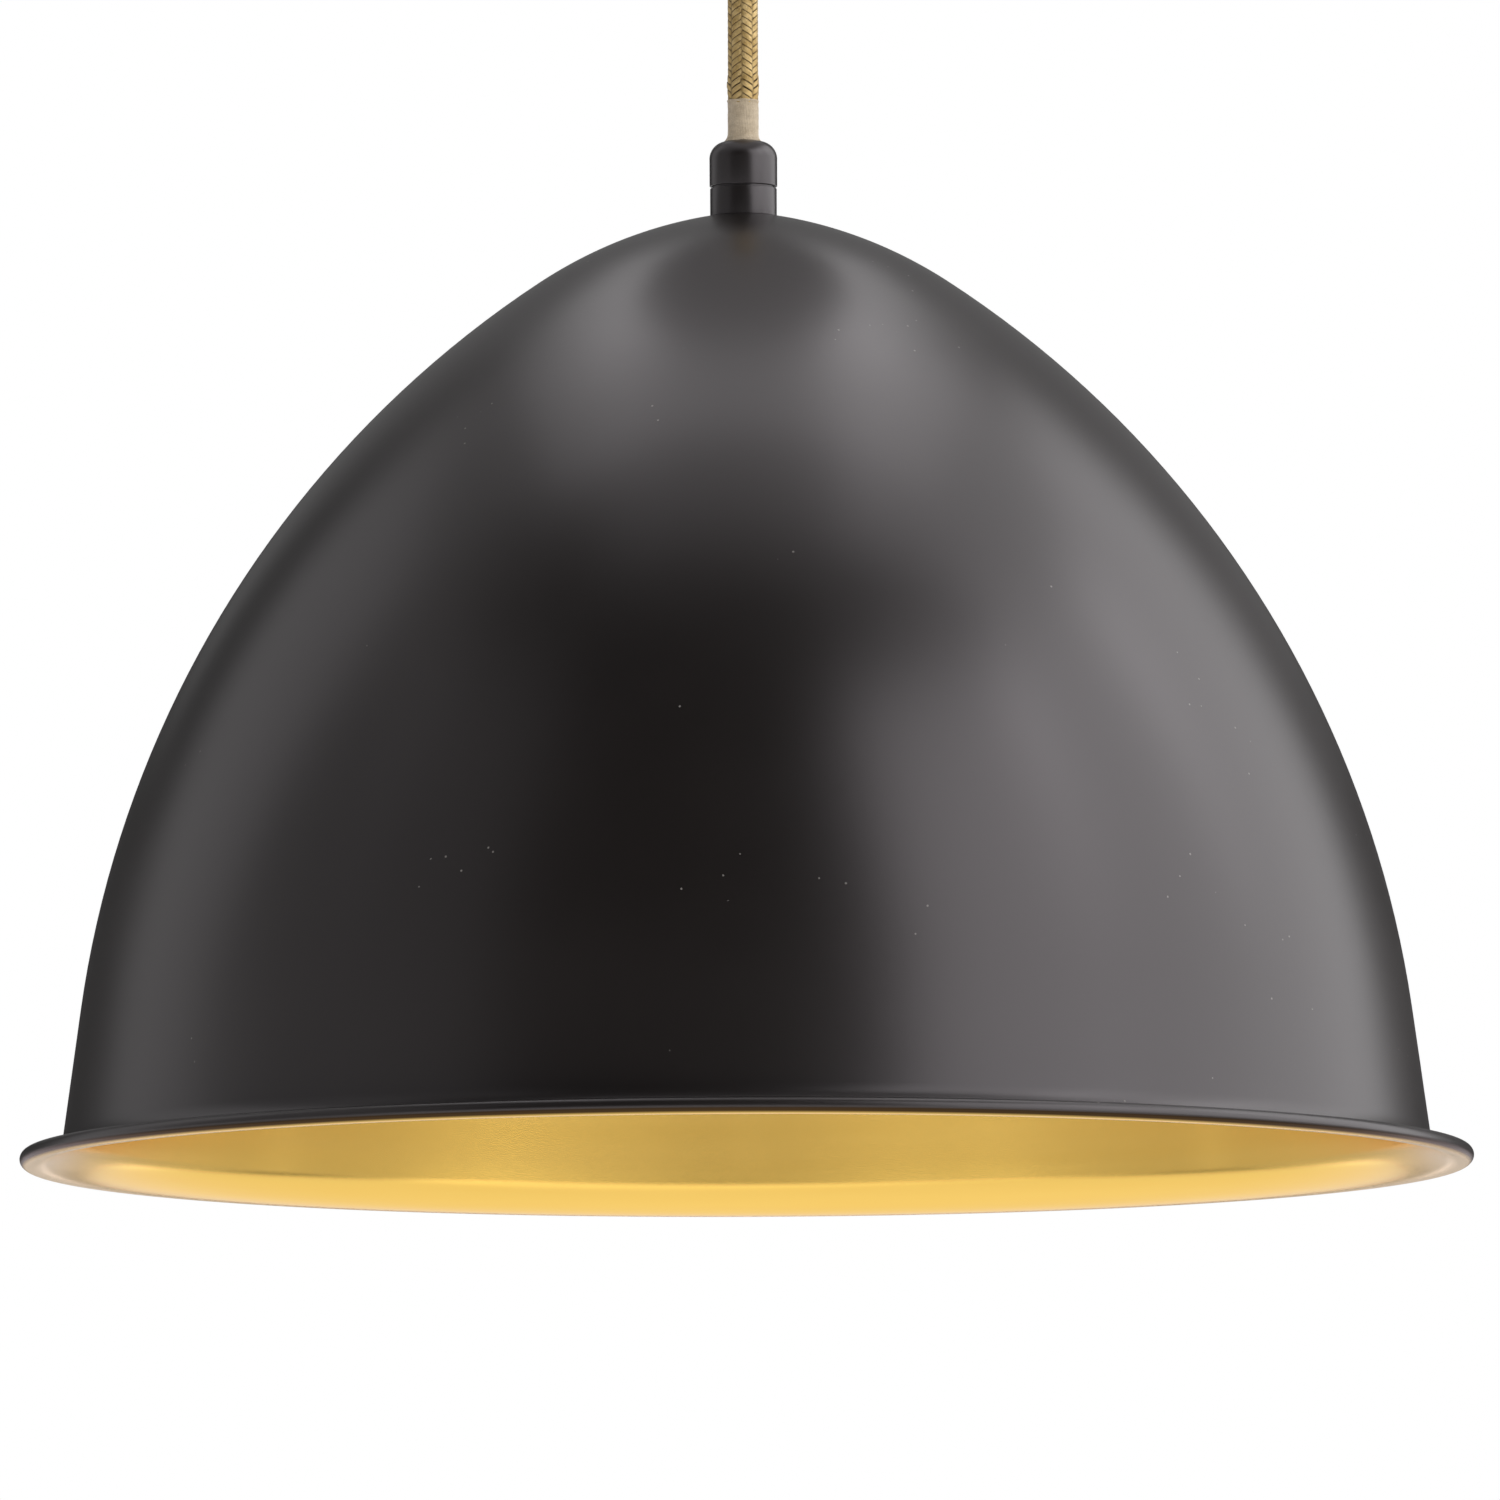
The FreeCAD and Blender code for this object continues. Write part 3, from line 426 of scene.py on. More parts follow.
cordSet = {"route": [(0, 0, -41.95 * mm), (0, 0, -56.0 * mm), (0, 0, -70.5 * mm),
                     (0, 0, -85.0 * mm), (0, 0, -99.4 * mm)],
           "diameter": 8.6 * mm, "lay": 15.8 * mm, "carriers": 8, "middle": 3.93 * mm,
           "wave": 0.2 * mm, "ribbon": 1.62 * mm, "thick": 0.34 * mm, "yarns": 5,
           "core": 3.5 * mm, "jacket": 3.25 * mm, "end": -84.2 * mm, "loose": 9 * mm,
           "phase": 0.30, "bend": 12 * mm, "clear": 0.9 * mm, "stepsPerLay": 56}


def cordRoute():
    curve = bpy.data.curves.new("cordRoute", "CURVE")
    curve.dimensions = "3D"
    spline = curve.splines.new("NURBS")
    spline.points.add(len(cordSet["route"]) - 1)
    for point, spot in zip(spline.points, cordSet["route"]):
        point.co = (*spot, 1)
    spline.order_u = 3
    spline.use_endpoint_u = True
    spline.resolution_u = 16
    holder = bpy.data.objects.new("cordRoute", curve)
    bpy.context.scene.collection.objects.link(holder)
    line = bpy.data.meshes.new_from_object(holder)
    points = [v.co.copy() for v in line.vertices]
    bpy.data.objects.remove(holder)
    bpy.data.meshes.remove(line)
    return points


def alongRoute(points, distance):
    # the point that far down the route
    for first, last in zip(points, points[1:]):
        step = (last - first).length
        if distance <= step or last is points[-1]:
            return first.lerp(last, min(1.0, distance / step))
        distance -= step


def braidedCover(route):
    made = bmesh.new()
    lift = made.verts.layers.float.new("lift")
    whole = sum((b - a).length for a, b in zip(route, route[1:]))
    top = route[0].z
    covered = top - cordSet["end"]
    steps = round(covered / cordSet["lay"] * cordSet["stepsPerLay"])
    half = cordSet["ribbon"] / 2
    across = 2 * cordSet["yarns"]
    section = []
    for index in range(across + 1):
        u = -1 + 2 * index / across
        crown = math.sqrt(max(0.0, 1 - u ** 4)) * 0.5
        groove = 0.12 * (1 if index % 2 else -1)
        section.append((u * half, cordSet["thick"] * (crown + groove * 0.5)))
    section += [(half * 0.7, -cordSet["thick"] * 0.5), (-half * 0.7, -cordSet["thick"] * 0.5)]
    for way in (1, -1):
        for carrier in range(cordSet["carriers"]):
            start = 2 * math.pi * (carrier + (0.5 if way < 0 else 0)) / cordSet["carriers"]
            slope = way * 2 * math.pi / cordSet["lay"]
            climb = math.atan2(1, abs(slope) * cordSet["middle"])
            rings = []
            for step in range(steps + 1):
                down = covered * step / steps
                base = alongRoute(route, down)
                nearEnd = max(0.0, 1 - (covered - down) / cordSet["loose"])
                slack = math.sin(math.pi * min(1, nearEnd * 1.15)) ** 2 if nearEnd > 0 else 0
                jitter = noise.noise(Vector((carrier * 3.1, way * 7.7, down / mm * 0.35)))
                ring = []
                for u, v in section:
                    u = u * (1 - 0.16 * slack) * (1 + 0.10 * jitter)
                    turn = start + slope * down + cordSet["phase"]
                    turn += way * u * math.sin(climb) / cordSet["middle"]
                    side = u * math.cos(climb)
                    beat = cordSet["carriers"] / 2 * (turn - cordSet["phase"])
                    wave = math.tanh(1.6 * math.cos(beat)) / 0.92
                    radius = cordSet["middle"] + way * wave * cordSet["wave"] + v
                    radius += (0.28 + 0.22 * jitter) * slack * mm
                    spot = base + Vector((radius * math.cos(turn), radius * math.sin(turn), side))
                    spot.z = min(max(spot.z, cordSet["end"]), top)
                    vert = made.verts.new(spot)
                    # lift: how high the float lies, lower toward its edges; the braid finish paints
                    # shade where it is low
                    shown = 0.5 + 0.5 * way * wave * (1 - 0.2 * slack)
                    vert[lift] = shown * (1 - 0.7 * abs(u / half) ** 3)
                    ring.append(vert)
                rings.append(ring)
            for first, last in zip(rings, rings[1:]):
                for index in range(len(section)):
                    after = (index + 1) % len(section)
                    made.faces.new([first[index], first[after], last[after], last[index]])
            made.faces.new(rings[0])
            made.faces.new(rings[-1])
    piece = addPiece("braidedCover", made, "braid_gold", 50)
    print("braid: %.1f mm, %d vertices" % (whole / mm, len(piece.data.vertices)))
    return piece


def innerCord(route):
    # the cord under the braid, which goes on down into the lower grip
    made = bmesh.new()
    top = route[0].z
    outline = [(0, top)] + steppedLine(cordSet["core"], top, cordSet["end"], mm)
    foot = route[-1].z + cordSet["clear"]  # room for the lower cord when the shade tilts
    outline += steppedLine(cordSet["jacket"], cordSet["end"] - 0.5 * mm, foot, mm)
    spin(made, outline + [(0, foot)], 48)
    return addPiece("innerCord", made, "braid_gold", 50)


# Cloth wrap over the end of the braid

wrapSet = {"top": -83.2 * mm, "bottom": -95.0 * mm, "radius": 4.28 * mm, "inner": 3.4 * mm,
           "flare": 1.0 * mm, "rise": 2.2 * mm, "seed": 11, "fibres": 60, "bend": 6 * mm}


def endWrap():
    chance = random.Random(wrapSet["seed"])
    made = bmesh.new()
    top = wrapSet["top"]
    bottom = max(wrapSet["bottom"], highOf("neck_cap").z + 0.05 * mm)
    radius = wrapSet["radius"]
    outline = [(wrapSet["inner"], top - 0.4 * mm)]
    outline += [(radius - 0.35 * mm, top), (radius + 0.05 * mm, top - 0.02 * mm),
                (radius + 0.2 * mm, top - 0.22 * mm), (radius + 0.16 * mm, top - 0.5 * mm),
                (radius, top - 0.75 * mm)]
    rows = 44
    for row in range(1, rows):
        share = row / rows
        height = top - 0.75 * mm + (bottom - top + 0.75 * mm) * share
        flare = max(0.0, 1 - (height - bottom) / wrapSet["rise"]) ** 2 * wrapSet["flare"]
        outline.append((radius + flare, height))
    outline += [(radius + wrapSet["flare"], bottom + 0.05 * mm), (radius, bottom - 0.4 * mm),
                (radius - 0.2 * mm, bottom - 2.2 * mm), (wrapSet["inner"], bottom - 2.2 * mm)]

    def wrinkle(r, z, turn):
        if r <= wrapSet["inner"] + 1e-6:
            return r, z
        around = Vector((math.cos(turn), math.sin(turn), 0)) * 2.2
        crease = noise.noise(around + Vector((0, 0, z / mm * 0.45)))
        thread = 0.035 * math.cos(36 * turn + z / mm * 0.9)
        fuzz = noise.noise(around * 9 + Vector((0, 0, z / mm * 4)))
        return r + (0.13 * crease + thread + 0.05 * fuzz) * mm, z + 0.12 * mm * crease

    spin(made, outline, 144, wrinkle)
    for index in range(wrapSet["fibres"]):  # stray fibres that stand off the cloth
        turn = chance.uniform(0, 2 * math.pi)
        height = chance.uniform(bottom + 0.6 * mm, top - 0.1 * mm)
        long = chance.uniform(0.5, 1.5) * mm
        thick = 0.016 * mm
        out = Vector((math.cos(turn), math.sin(turn), 0))
        side = Vector((-out.y, out.x, 0))
        spot = out * (radius - 0.05 * mm) + Vector((0, 0, height))
        lean = (out * 0.45 + side * chance.uniform(-1, 1) + Vector((0, 0, chance.uniform(-1, 1))))
        lean.normalize()
        rings = []
        for step in range(5):
            share = step / 4
            middle = spot + lean * long * share - Vector((0, 0, long * 0.3 * share * share))
            fat = thick * (1 - 0.7 * share)
            rings.append([made.verts.new(middle + side * fat), made.verts.new(middle + out * fat),
                          made.verts.new(middle - side * fat)])
        for first, last in zip(rings, rings[1:]):
            for corner in range(3):
                after = (corner + 1) % 3
                made.faces.new([first[corner], first[after], last[after], last[corner]])
        made.faces.new(rings[0])
        made.faces.new(rings[-1])
    piece = addPiece("endWrap", made, "beige_wrap", 60)
    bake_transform(piece)
    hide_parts("cord_sleeve")
    print("end wrap: %d vertices" % len(piece.data.vertices))
    return piece


cordLine = cordRoute()
cordPiece = innerCord(cordLine)
coverPiece = braidedCover(cordLine)
for piece in (cordPiece, coverPiece):
    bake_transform(piece)
    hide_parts("cord_drop")
wrapPiece = endWrap()


# Shade: one spun shell with a rolled bead

shadeSet = {"rim": 203.2 * mm, "bead": beadRadius, "wall": 0.9 * mm, "height": 264.9 * mm,
            "beadTurn": 192, "flare": 10.03 * mm, "lean": 8, "straight": 34.97 * mm,
            "side": 294 * mm, "crownStart": 56.3, "crown": 127.2 * mm, "seat": 9.35 * mm,
            "hole": 5.2 * mm, "goldFrom": -6, "goldTo": -78, "around": 320,
            "uneven": 0.05 * mm, "evenWithin": 14 * mm, "evenBelow": 20 * mm}


def outward(angle, distance):
    turn = math.radians(angle)
    return Vector((math.cos(turn), math.sin(turn))) * distance


def shadeOutline():
    # (radius, height, share of gold), from the seat down the outside and up the inside
    s = shadeSet
    middle = Vector((s["rim"] - s["bead"], rimMiddle))
    thin = s["wall"]
    hollow = s["bead"] - thin
    turnCentre = middle + Vector((0, s["flare"] - hollow))
    foot = turnCentre - outward(s["lean"], s["flare"])
    wallTop = foot + outward(s["lean"] + 90, s["straight"])
    sideCentre = wallTop - outward(s["lean"], s["side"])
    shoulder = sideCentre + outward(s["crownStart"], s["side"])
    crownCentre = shoulder - outward(s["crownStart"], s["crown"])
    seatTurn = math.degrees(math.acos((s["seat"] - crownCentre.x) / s["crown"]))
    innerTurn = math.degrees(math.acos((s["seat"] - crownCentre.x) / (s["crown"] - thin)))
    outside = [(s["hole"], seatLevel), (s["seat"] - 1 * mm, seatLevel)]
    outside += arc(crownCentre, s["crown"], seatTurn, s["crownStart"], 22)
    outside += arc(sideCentre, s["side"], s["crownStart"], s["lean"], 40)[1:]
    outside += [tuple(wallTop.lerp(foot, share / 6)) for share in range(1, 7)]
    outside += arc(turnCentre, s["flare"], s["lean"] + 180, 270, 16)[1:]
    outside += arc(middle, hollow, -90, s["beadTurn"], 24)[1:]
    points = [(r, z, 0.0) for r, z in outside]
    rows = 72
    for row, (r, z) in enumerate(arc(middle, s["bead"], s["beadTurn"], -90, rows)):
        angle = s["beadTurn"] - (s["beadTurn"] + 90) * row / rows
        share = (s["goldFrom"] - angle) / (s["goldFrom"] - s["goldTo"])
        points.append((r, z, min(1.0, max(0.0, share))))
    inside = arc(turnCentre, s["flare"] + thin, 270, s["lean"] + 180, 20)[1:]
    inside += [tuple((wallTop.lerp(foot, 1 - share / 6) - outward(s["lean"], thin)))
               for share in range(1, 7)]
    inside += arc(sideCentre, s["side"] - thin, s["lean"], s["crownStart"], 40)[1:]
    inside += arc(crownCentre, s["crown"] - thin, s["crownStart"], innerTurn, 22)[1:]
    inside += [(s["seat"] - 1 * mm, seatLevel - thin), (s["hole"], seatLevel - thin)]
    return points + [(r, z, 1.0) for r, z in inside]


def spunShade():
    outline = shadeOutline()
    made = bmesh.new()
    gold = made.verts.layers.float.new("goldShare")

    def hammer(r, z, turn):
        # the slight unevenness that spinning over a form leaves
        if r < shadeSet["evenWithin"] or z < rimMiddle + shadeSet["evenBelow"]:
            return r, z
        around = Vector((math.cos(turn) * 1.3, math.sin(turn) * 1.3, z * 11))
        return r + shadeSet["uneven"] * noise.noise(around), z

    rings = spin(made, [(r, z) for r, z, share in outline], shadeSet["around"], hammer)
    for ring, (r, z, share) in zip(rings, outline):
        for vert in ring:
            vert[gold] = share
    piece = addPiece("spunShade", made, "shade_finish", 40)
    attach(piece, "pendant")
    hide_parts("shade")
    print("shade: %d vertices" % len(piece.data.vertices))


spunShade()


# Cord grips: the neck, and its twin at the ceiling

gripSet = {"body": 9.35 * mm, "cap": 9.5 * mm, "groove": 8.65 * mm, "bevel": 0.22 * mm,
           "bodyHeight": 8 * mm, "grooveHeight": 0.5 * mm, "spigot": 8 * mm,
           "spigotHeight": 5.5 * mm, "capHeight": 12.7 * mm, "thread": 5.05 * mm,
           "shoulder": 4.9 * mm, "shoulderHeight": 5.2 * mm,
           "neckMouth": 4.85 * mm, "neckFlat": 5.25 * mm,
           "ceilingMouth": 5.1 * mm, "ceilingFlat": 7.0 * mm}


def cordGrip(name, foot, up, mouth, flat, body, nodes):
    # foot is the face that the nut pulls on, up is 1 at the neck and -1 at the ceiling
    g = gripSet
    edge = g["bevel"]

    def standing(points):
        return [(r, foot + up * z) for r, z in points]

    top = g["bodyHeight"] + g["grooveHeight"]
    lower = rounded([
        (g["thread"], 0, 0), (g["body"], 0, edge), (g["body"], g["bodyHeight"], edge),
        (g["groove"], g["bodyHeight"], 0), (g["groove"], top, 0), (g["spigot"], top, 0),
        (g["spigot"], top + g["spigotHeight"], edge), (g["thread"], top + g["spigotHeight"], 0)])
    turnedPiece(name + "Body", standing(lower), "bronze_paint", body, nodes[0], around=128)
    height = top + g["capHeight"]
    bend = height - g["shoulderHeight"]
    centre, start, end = bentOver(Vector((g["cap"], bend)), Vector((flat, height)),
                                  g["shoulder"])
    cap = rounded([(g["spigot"] + 0.05 * mm, top, 0), (g["cap"], top, edge),
                   (g["cap"], bend - 0.4 * mm, 0)])
    cap += arc(centre, g["shoulder"], start, end, 16)
    cap += rounded([(mouth, height, 0), (mouth, height - 2.6 * mm, 0),
                    (g["spigot"] - 0.95 * mm, top + g["spigotHeight"] + 0.3 * mm, 0)])
    turnedPiece(name + "Cap", standing(cap), "bronze_paint", body, nodes[1], around=128)


cordGrip("neck", seatLevel, 1, gripSet["neckMouth"], gripSet["neckFlat"], "pendant",
         ["neck_body", "neck_cap"])
cordGrip("ceilingGrip", highOf("ceiling_grip_body").z, -1, gripSet["ceilingMouth"],
         gripSet["ceilingFlat"], "ceiling_mount", ["ceiling_grip_body", "ceiling_grip_cap"])
print("cord grips made")


# Ceiling canopy, pressed from sheet

canopySet = {"radius": 63.5 * mm, "wall": 1 * mm, "corner": 8 * mm, "hole": 5.2 * mm,
             "lip": 2.2 * mm, "lipRound": 0.4 * mm}


def pressedCanopy():
    c = canopySet
    under = lowOf("canopy").z
    outline = [(c["hole"], under), (c["radius"] - c["corner"], under)]
    outline += arc((c["radius"] - c["corner"], under + c["corner"]), c["corner"], -90, 0, 14)[1:]
    outline += rounded([(c["radius"], -c["lip"], 0), (c["radius"], 0, c["lipRound"]),
                        (c["radius"] - c["wall"], 0, c["lipRound"]),
                        (c["radius"] - c["wall"], -c["lip"], 0)])
    outline += arc((c["radius"] - c["corner"], under + c["corner"]), c["corner"] - c["wall"],
                   0, -90, 14)
    outline += [(c["hole"], under + c["wall"])]
    turnedPiece("pressedCanopy", outline, "bronze_paint", "ceiling_mount", "canopy", around=160)


# Threads: on the studs, in the screw shell and on the lamp

threadSet = {"studRadius": 2 * mm, "studPitch": 0.8 * mm, "studDepth": 0.22 * mm,
             "studBevel": 0.3 * mm, "lampPitch": 3.629 * mm, "lampDepth": 0.46 * mm}


def helix(depth, pitch, low, high, sign=1):
    # a ripple that winds right-handed and dies out at both ends of the threaded length
    def ripple(r, z, turn):
        fade = min(1.0, max(0.0, min(z - low, high - z) / (pitch * 0.5)))
        return r + sign * depth * fade * math.cos(turn - 2 * math.pi * z / pitch), z
    return ripple


def threadedStuds():
    made = bmesh.new()
    low, high = lowOf("canopy_studs"), highOf("canopy_studs")
    bevel = threadSet["studBevel"]
    radius = threadSet["studRadius"] - threadSet["studDepth"]
    for side in (1, -1):
        spot = Matrix.Translation((side * (high.x - threadSet["studRadius"]), 0, 0))
        outline = [(0, low.z), (radius - bevel, low.z)]
        outline += steppedLine(radius, low.z + bevel, high.z - bevel, 0.13 * mm)
        outline += [(radius - bevel, high.z), (0, high.z)]
        ripple = helix(threadSet["studDepth"], threadSet["studPitch"], low.z, high.z)
        spin(made, outline, 20, ripple, spot)
    piece = addPiece("threadedStuds", made, "zinc_steel", 50)
    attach(piece, "ceiling_mount")
    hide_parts("canopy_studs")


# Screw heads with a slot, for the terminals and the ground screw

screwSet = {"slot": 0.7 * mm, "deep": 0.8 * mm,
            "terminalCircle": 10 * mm, "terminalHead": 2.6 * mm,
            "groundSpot": 33.5 * mm, "groundSeat": -1.6 * mm, "groundHead": 4 * mm,
            "groundHeight": 2.2 * mm, "groundShank": 1.55 * mm, "groundPitch": 0.75 * mm,
            "groundDepth": 0.15 * mm}


def slottedHead(made, spot, radius, height, up):
    # a low dome cut into two halves with a floor between them
    rows = [(radius, 0.0), (radius, 0.55), (radius * 0.86, 0.86), (radius * 0.5, 1.0)]
    half = screwSet["slot"] / 2
    around = 18
    for side in (1, -1):
        rings = []
        for r, share in rows:
            start = math.asin(half / r)
            ring = []
            for step in range(around + 1):
                turn = start + (math.pi - 2 * start) * step / around
                flat = Vector((r * math.cos(turn), side * r * math.sin(turn), up * share * height))
                ring.append(made.verts.new(Vector(spot) + flat))
            rings.append(ring)
        for first, last in zip(rings, rings[1:]):
            for step in range(around):
                made.faces.new([first[step], first[step + 1], last[step + 1], last[step]])
        made.faces.new(rings[-1])
        made.faces.new(rings[0])
        wall = [ring[0] for ring in rings] + [ring[-1] for ring in reversed(rings)]
        made.faces.new(wall)
    depth = height - screwSet["deep"]
    reach = math.sqrt(radius ** 2 - half ** 2)
    corners = [(x, y, z) for z in (0, depth) for x, y in
               ((-reach, -half), (reach, -half), (reach, half), (-reach, half))]
    block = [made.verts.new(Vector(spot) + Vector((x, y, up * z))) for x, y, z in corners]
    for face in ((0, 1, 2, 3), (4, 5, 6, 7), (0, 1, 5, 4), (2, 3, 7, 6), (1, 2, 6, 5),
                 (3, 0, 4, 7)):
        made.faces.new([block[index] for index in face])


def terminalScrews():
    made = bmesh.new()
    low, high = lowOf("holder_terminals"), highOf("holder_terminals")
    for angle in (0, 120, 240):
        turn = math.radians(angle)
        circle = screwSet["terminalCircle"]
        spot = (circle * math.cos(turn), circle * math.sin(turn), low.z)
        slottedHead(made, spot, screwSet["terminalHead"], high.z - low.z, 1)
    piece = addPiece("terminalScrews", made, "socket_brass", 30)
    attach(piece, "pendant")
    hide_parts("holder_terminals")


def groundScrewPiece():
    g = screwSet
    made = bmesh.new()
    tip = highOf("ground_screw").z
    seat = g["groundSeat"]
    slottedHead(made, (g["groundSpot"], 0, seat), g["groundHead"], g["groundHeight"], -1)
    ripple = helix(g["groundDepth"], g["groundPitch"], seat, tip)
    shank = [(0, seat)] + steppedLine(g["groundShank"], seat, tip, 0.12 * mm)
    shank += [(0, tip)]
    spin(made, shank, 20, ripple, Matrix.Translation((g["groundSpot"], 0, 0)))
    piece = addPiece("groundScrewPiece", made, "green_screw", 30)
    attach(piece, "ceiling_mount")
    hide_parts("ground_screw")


# Wire connectors: ribbed cones with a skirt

connectorSet = {"mouth": 5.5 * mm, "tip": 3.4 * mm, "length": 20 * mm, "ribs": 12,
                "ribDepth": 0.28 * mm, "reach": 16 * mm, "height": -10 * mm}


def ribbedConnectors():
    c = connectorSet
    made = bmesh.new()
    skirt = c["length"] * 0.3
    length = c["length"]
    outline = rounded([
        (0, 0.6 * mm, 0), (c["mouth"] - 1.3 * mm, 0, 0), (c["mouth"], 0, 0.5 * mm),
        (c["mouth"], skirt, 0.8 * mm), (c["mouth"] - 0.7 * mm, skirt + 0.8 * mm, 0)])
    outline += [(c["mouth"] - 0.7 * mm + (c["tip"] - c["mouth"] + 0.9 * mm) * share / 10,
                 skirt + 0.8 * mm + (length - skirt - 1.9 * mm) * share / 10)
                for share in range(1, 11)]
    outline += [(c["tip"] - 0.5 * mm, length - 0.3 * mm), (c["tip"] - 1.4 * mm, length),
                (0, length)]

    def ribs(r, z, turn):
        if z < skirt + 1.4 * mm or z > length - 1.2 * mm:
            return r, z
        return r - c["ribDepth"] * (0.5 + 0.5 * math.cos(c["ribs"] * turn)) ** 2, z

    for angle in (30, 90, 150):
        turn = math.radians(angle)
        out = Vector((math.cos(turn), math.sin(turn), 0))
        tilt = out.to_track_quat("Z", "Y").to_matrix().to_4x4()
        spot = Matrix.Translation(out * c["reach"] + Vector((0, 0, c["height"])))
        spin(made, outline, 96, ribs, spot @ tilt)
    piece = addPiece("ribbedConnectors", made, "connector_plastic", 40)
    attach(piece, "ceiling_mount")
    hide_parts("wire_connectors")


# Lamp holder

holderSet = {"radius": 20 * mm, "hub": 8 * mm, "hubHeight": 10 * mm, "drape": 10.5 * mm,
             "wall": 1.7 * mm, "thread": 5.05 * mm, "bodyBore": 13.85 * mm,
             "shellBore": 13.4 * mm, "floorDepth": 9 * mm, "recessDepth": 5 * mm,
             "flutes": 48, "fluteDepth": 0.42 * mm}


def holderCapPiece():
    h = holderSet
    foot = lowOf("holder_cap").z
    top = highOf("holder_cap").z
    bend = top - h["hubHeight"]
    skirt = bend - h["hubHeight"]
    centre, start, end = bentOver(Vector((h["radius"], skirt)), Vector((h["hub"], bend)),
                                  h["drape"])
    thin = h["wall"]
    outline = rounded([(h["radius"] - thin, foot, 0), (h["radius"], foot, 0.5 * mm),
                       (h["radius"], foot + 2.2 * mm, 0.5 * mm),
                       (h["radius"] - 0.5 * mm, foot + 2.7 * mm, 0),
                       (h["radius"] - 0.5 * mm, foot + 3.2 * mm, 0)])
    outline += arc(centre, h["drape"], start, end, 18)[1:]
    outline += rounded([(h["hub"], bend + 1.2 * mm, 0), (h["hub"], top, 0.6 * mm),
                        (h["thread"], top, 0), (h["thread"], bend - thin / 2, 0),
                        (h["hub"], bend - thin, 0)])
    outline += arc(centre, h["drape"] - thin, end, start, 14)[1:]
    turnedPiece("holderCapPiece", outline, "holder_metal", "pendant", "holder_cap", around=128)


def holderBodyPiece():
    h = holderSet
    low = lowOf("holder_body").z
    high = highOf("holder_body").z
    bore = h["bodyBore"]
    floor = high - h["floorDepth"]
    recess = high - h["recessDepth"]
    radius = h["radius"]
    outline = rounded([
        (0, floor, 0), (bore, floor, 0), (bore, low, 0.5 * mm), (radius - 2.2 * mm, low, 0.6 * mm),
        (radius - 0.3 * mm, low + 1.6 * mm, 0.6 * mm), (radius - 0.3 * mm, low + 4.2 * mm, 0.3 * mm),
        (radius - 1.1 * mm, low + 4.6 * mm, 0.3 * mm)])
    outline += steppedLine(radius - 0.55 * mm, low + 5.4 * mm, high - 4.4 * mm, 1.2 * mm)
    outline += rounded([
        (radius - 1.1 * mm, high - 3.6 * mm, 0.3 * mm), (radius, high - 3.2 * mm, 0.3 * mm),
        (radius, high, 0.4 * mm), (radius - h["wall"], high, 0.3 * mm),
        (radius - h["wall"], recess, 0.4 * mm), (0, recess, 0)])

    def flutes(r, z, turn):
        if r < radius - 0.9 * mm or not low + 5.2 * mm < z < high - 4.2 * mm:
            return r, z
        return r - h["fluteDepth"] * (0.5 - 0.5 * math.cos(h["flutes"] * turn)) ** 3, z

    turnedPiece("holderBodyPiece", outline, "holder_phenolic", "pendant", "holder_body",
                around=384, ripple=flutes)


def threadedShell():
    low, high = lowOf("holder_shell").z, highOf("holder_shell").z
    bore = holderSet["shellBore"]
    outline = steppedLine(bore + 0.06 * mm, low + 0.4 * mm, high, 0.24 * mm)
    outline += [(bore + 0.38 * mm, high)]
    outline += steppedLine(bore + 0.38 * mm, high, low + 0.4 * mm, 0.24 * mm)[1:]
    outline += [(bore + 0.42 * mm, low + 0.1 * mm), (bore + 0.2 * mm, low)]

    def wind(r, z, turn):
        r, z = helix(threadSet["lampDepth"], threadSet["lampPitch"], low, high)(
            r - threadSet["lampDepth"], z, turn)
        return max(r, 0), z

    turnedPiece("threadedShell", outline, "socket_brass", "pendant", "holder_shell",
                around=96, ripple=wind, sharp=50)


# Lamp

lampSet = {"cap": 13.1 * mm, "foot": 13.6 * mm, "top": 24 * mm, "fins": 20,
           "finDepth": 0.7 * mm, "globe": 30 * mm}


def lampCapPiece():
    low, high = lowOf("bulb_cap").z, highOf("bulb_cap").z
    depth = threadSet["lampDepth"]
    radius = lampSet["cap"] - depth
    inner = radius - depth - 0.5 * mm
    lip = lampSet["cap"] + 0.1 * mm
    outline = [(inner, low), (lip, low), (lip, low + 1.0 * mm)]
    outline += steppedLine(radius, low + 1.6 * mm, high - 2.4 * mm, 0.24 * mm)
    outline += [(radius - 0.5 * mm, high - 1.4 * mm), (radius - 1.2 * mm, high - 0.3 * mm),
                (radius - 1.8 * mm, high), (0, high), (0, high - 0.4 * mm),
                (inner - 1.2 * mm, high - 0.4 * mm), (inner, high - 2 * mm)]
    wound = helix(depth, threadSet["lampPitch"], low + 1.4 * mm, high - 2.0 * mm)

    def wind(r, z, turn):
        return wound(r, z, turn) if abs(r - radius) < 1e-6 else (r, z)

    turnedPiece("lampCapPiece", outline, "lamp_cap_metal", "bulb", "bulb_cap",
                around=96, ripple=wind, sharp=50)


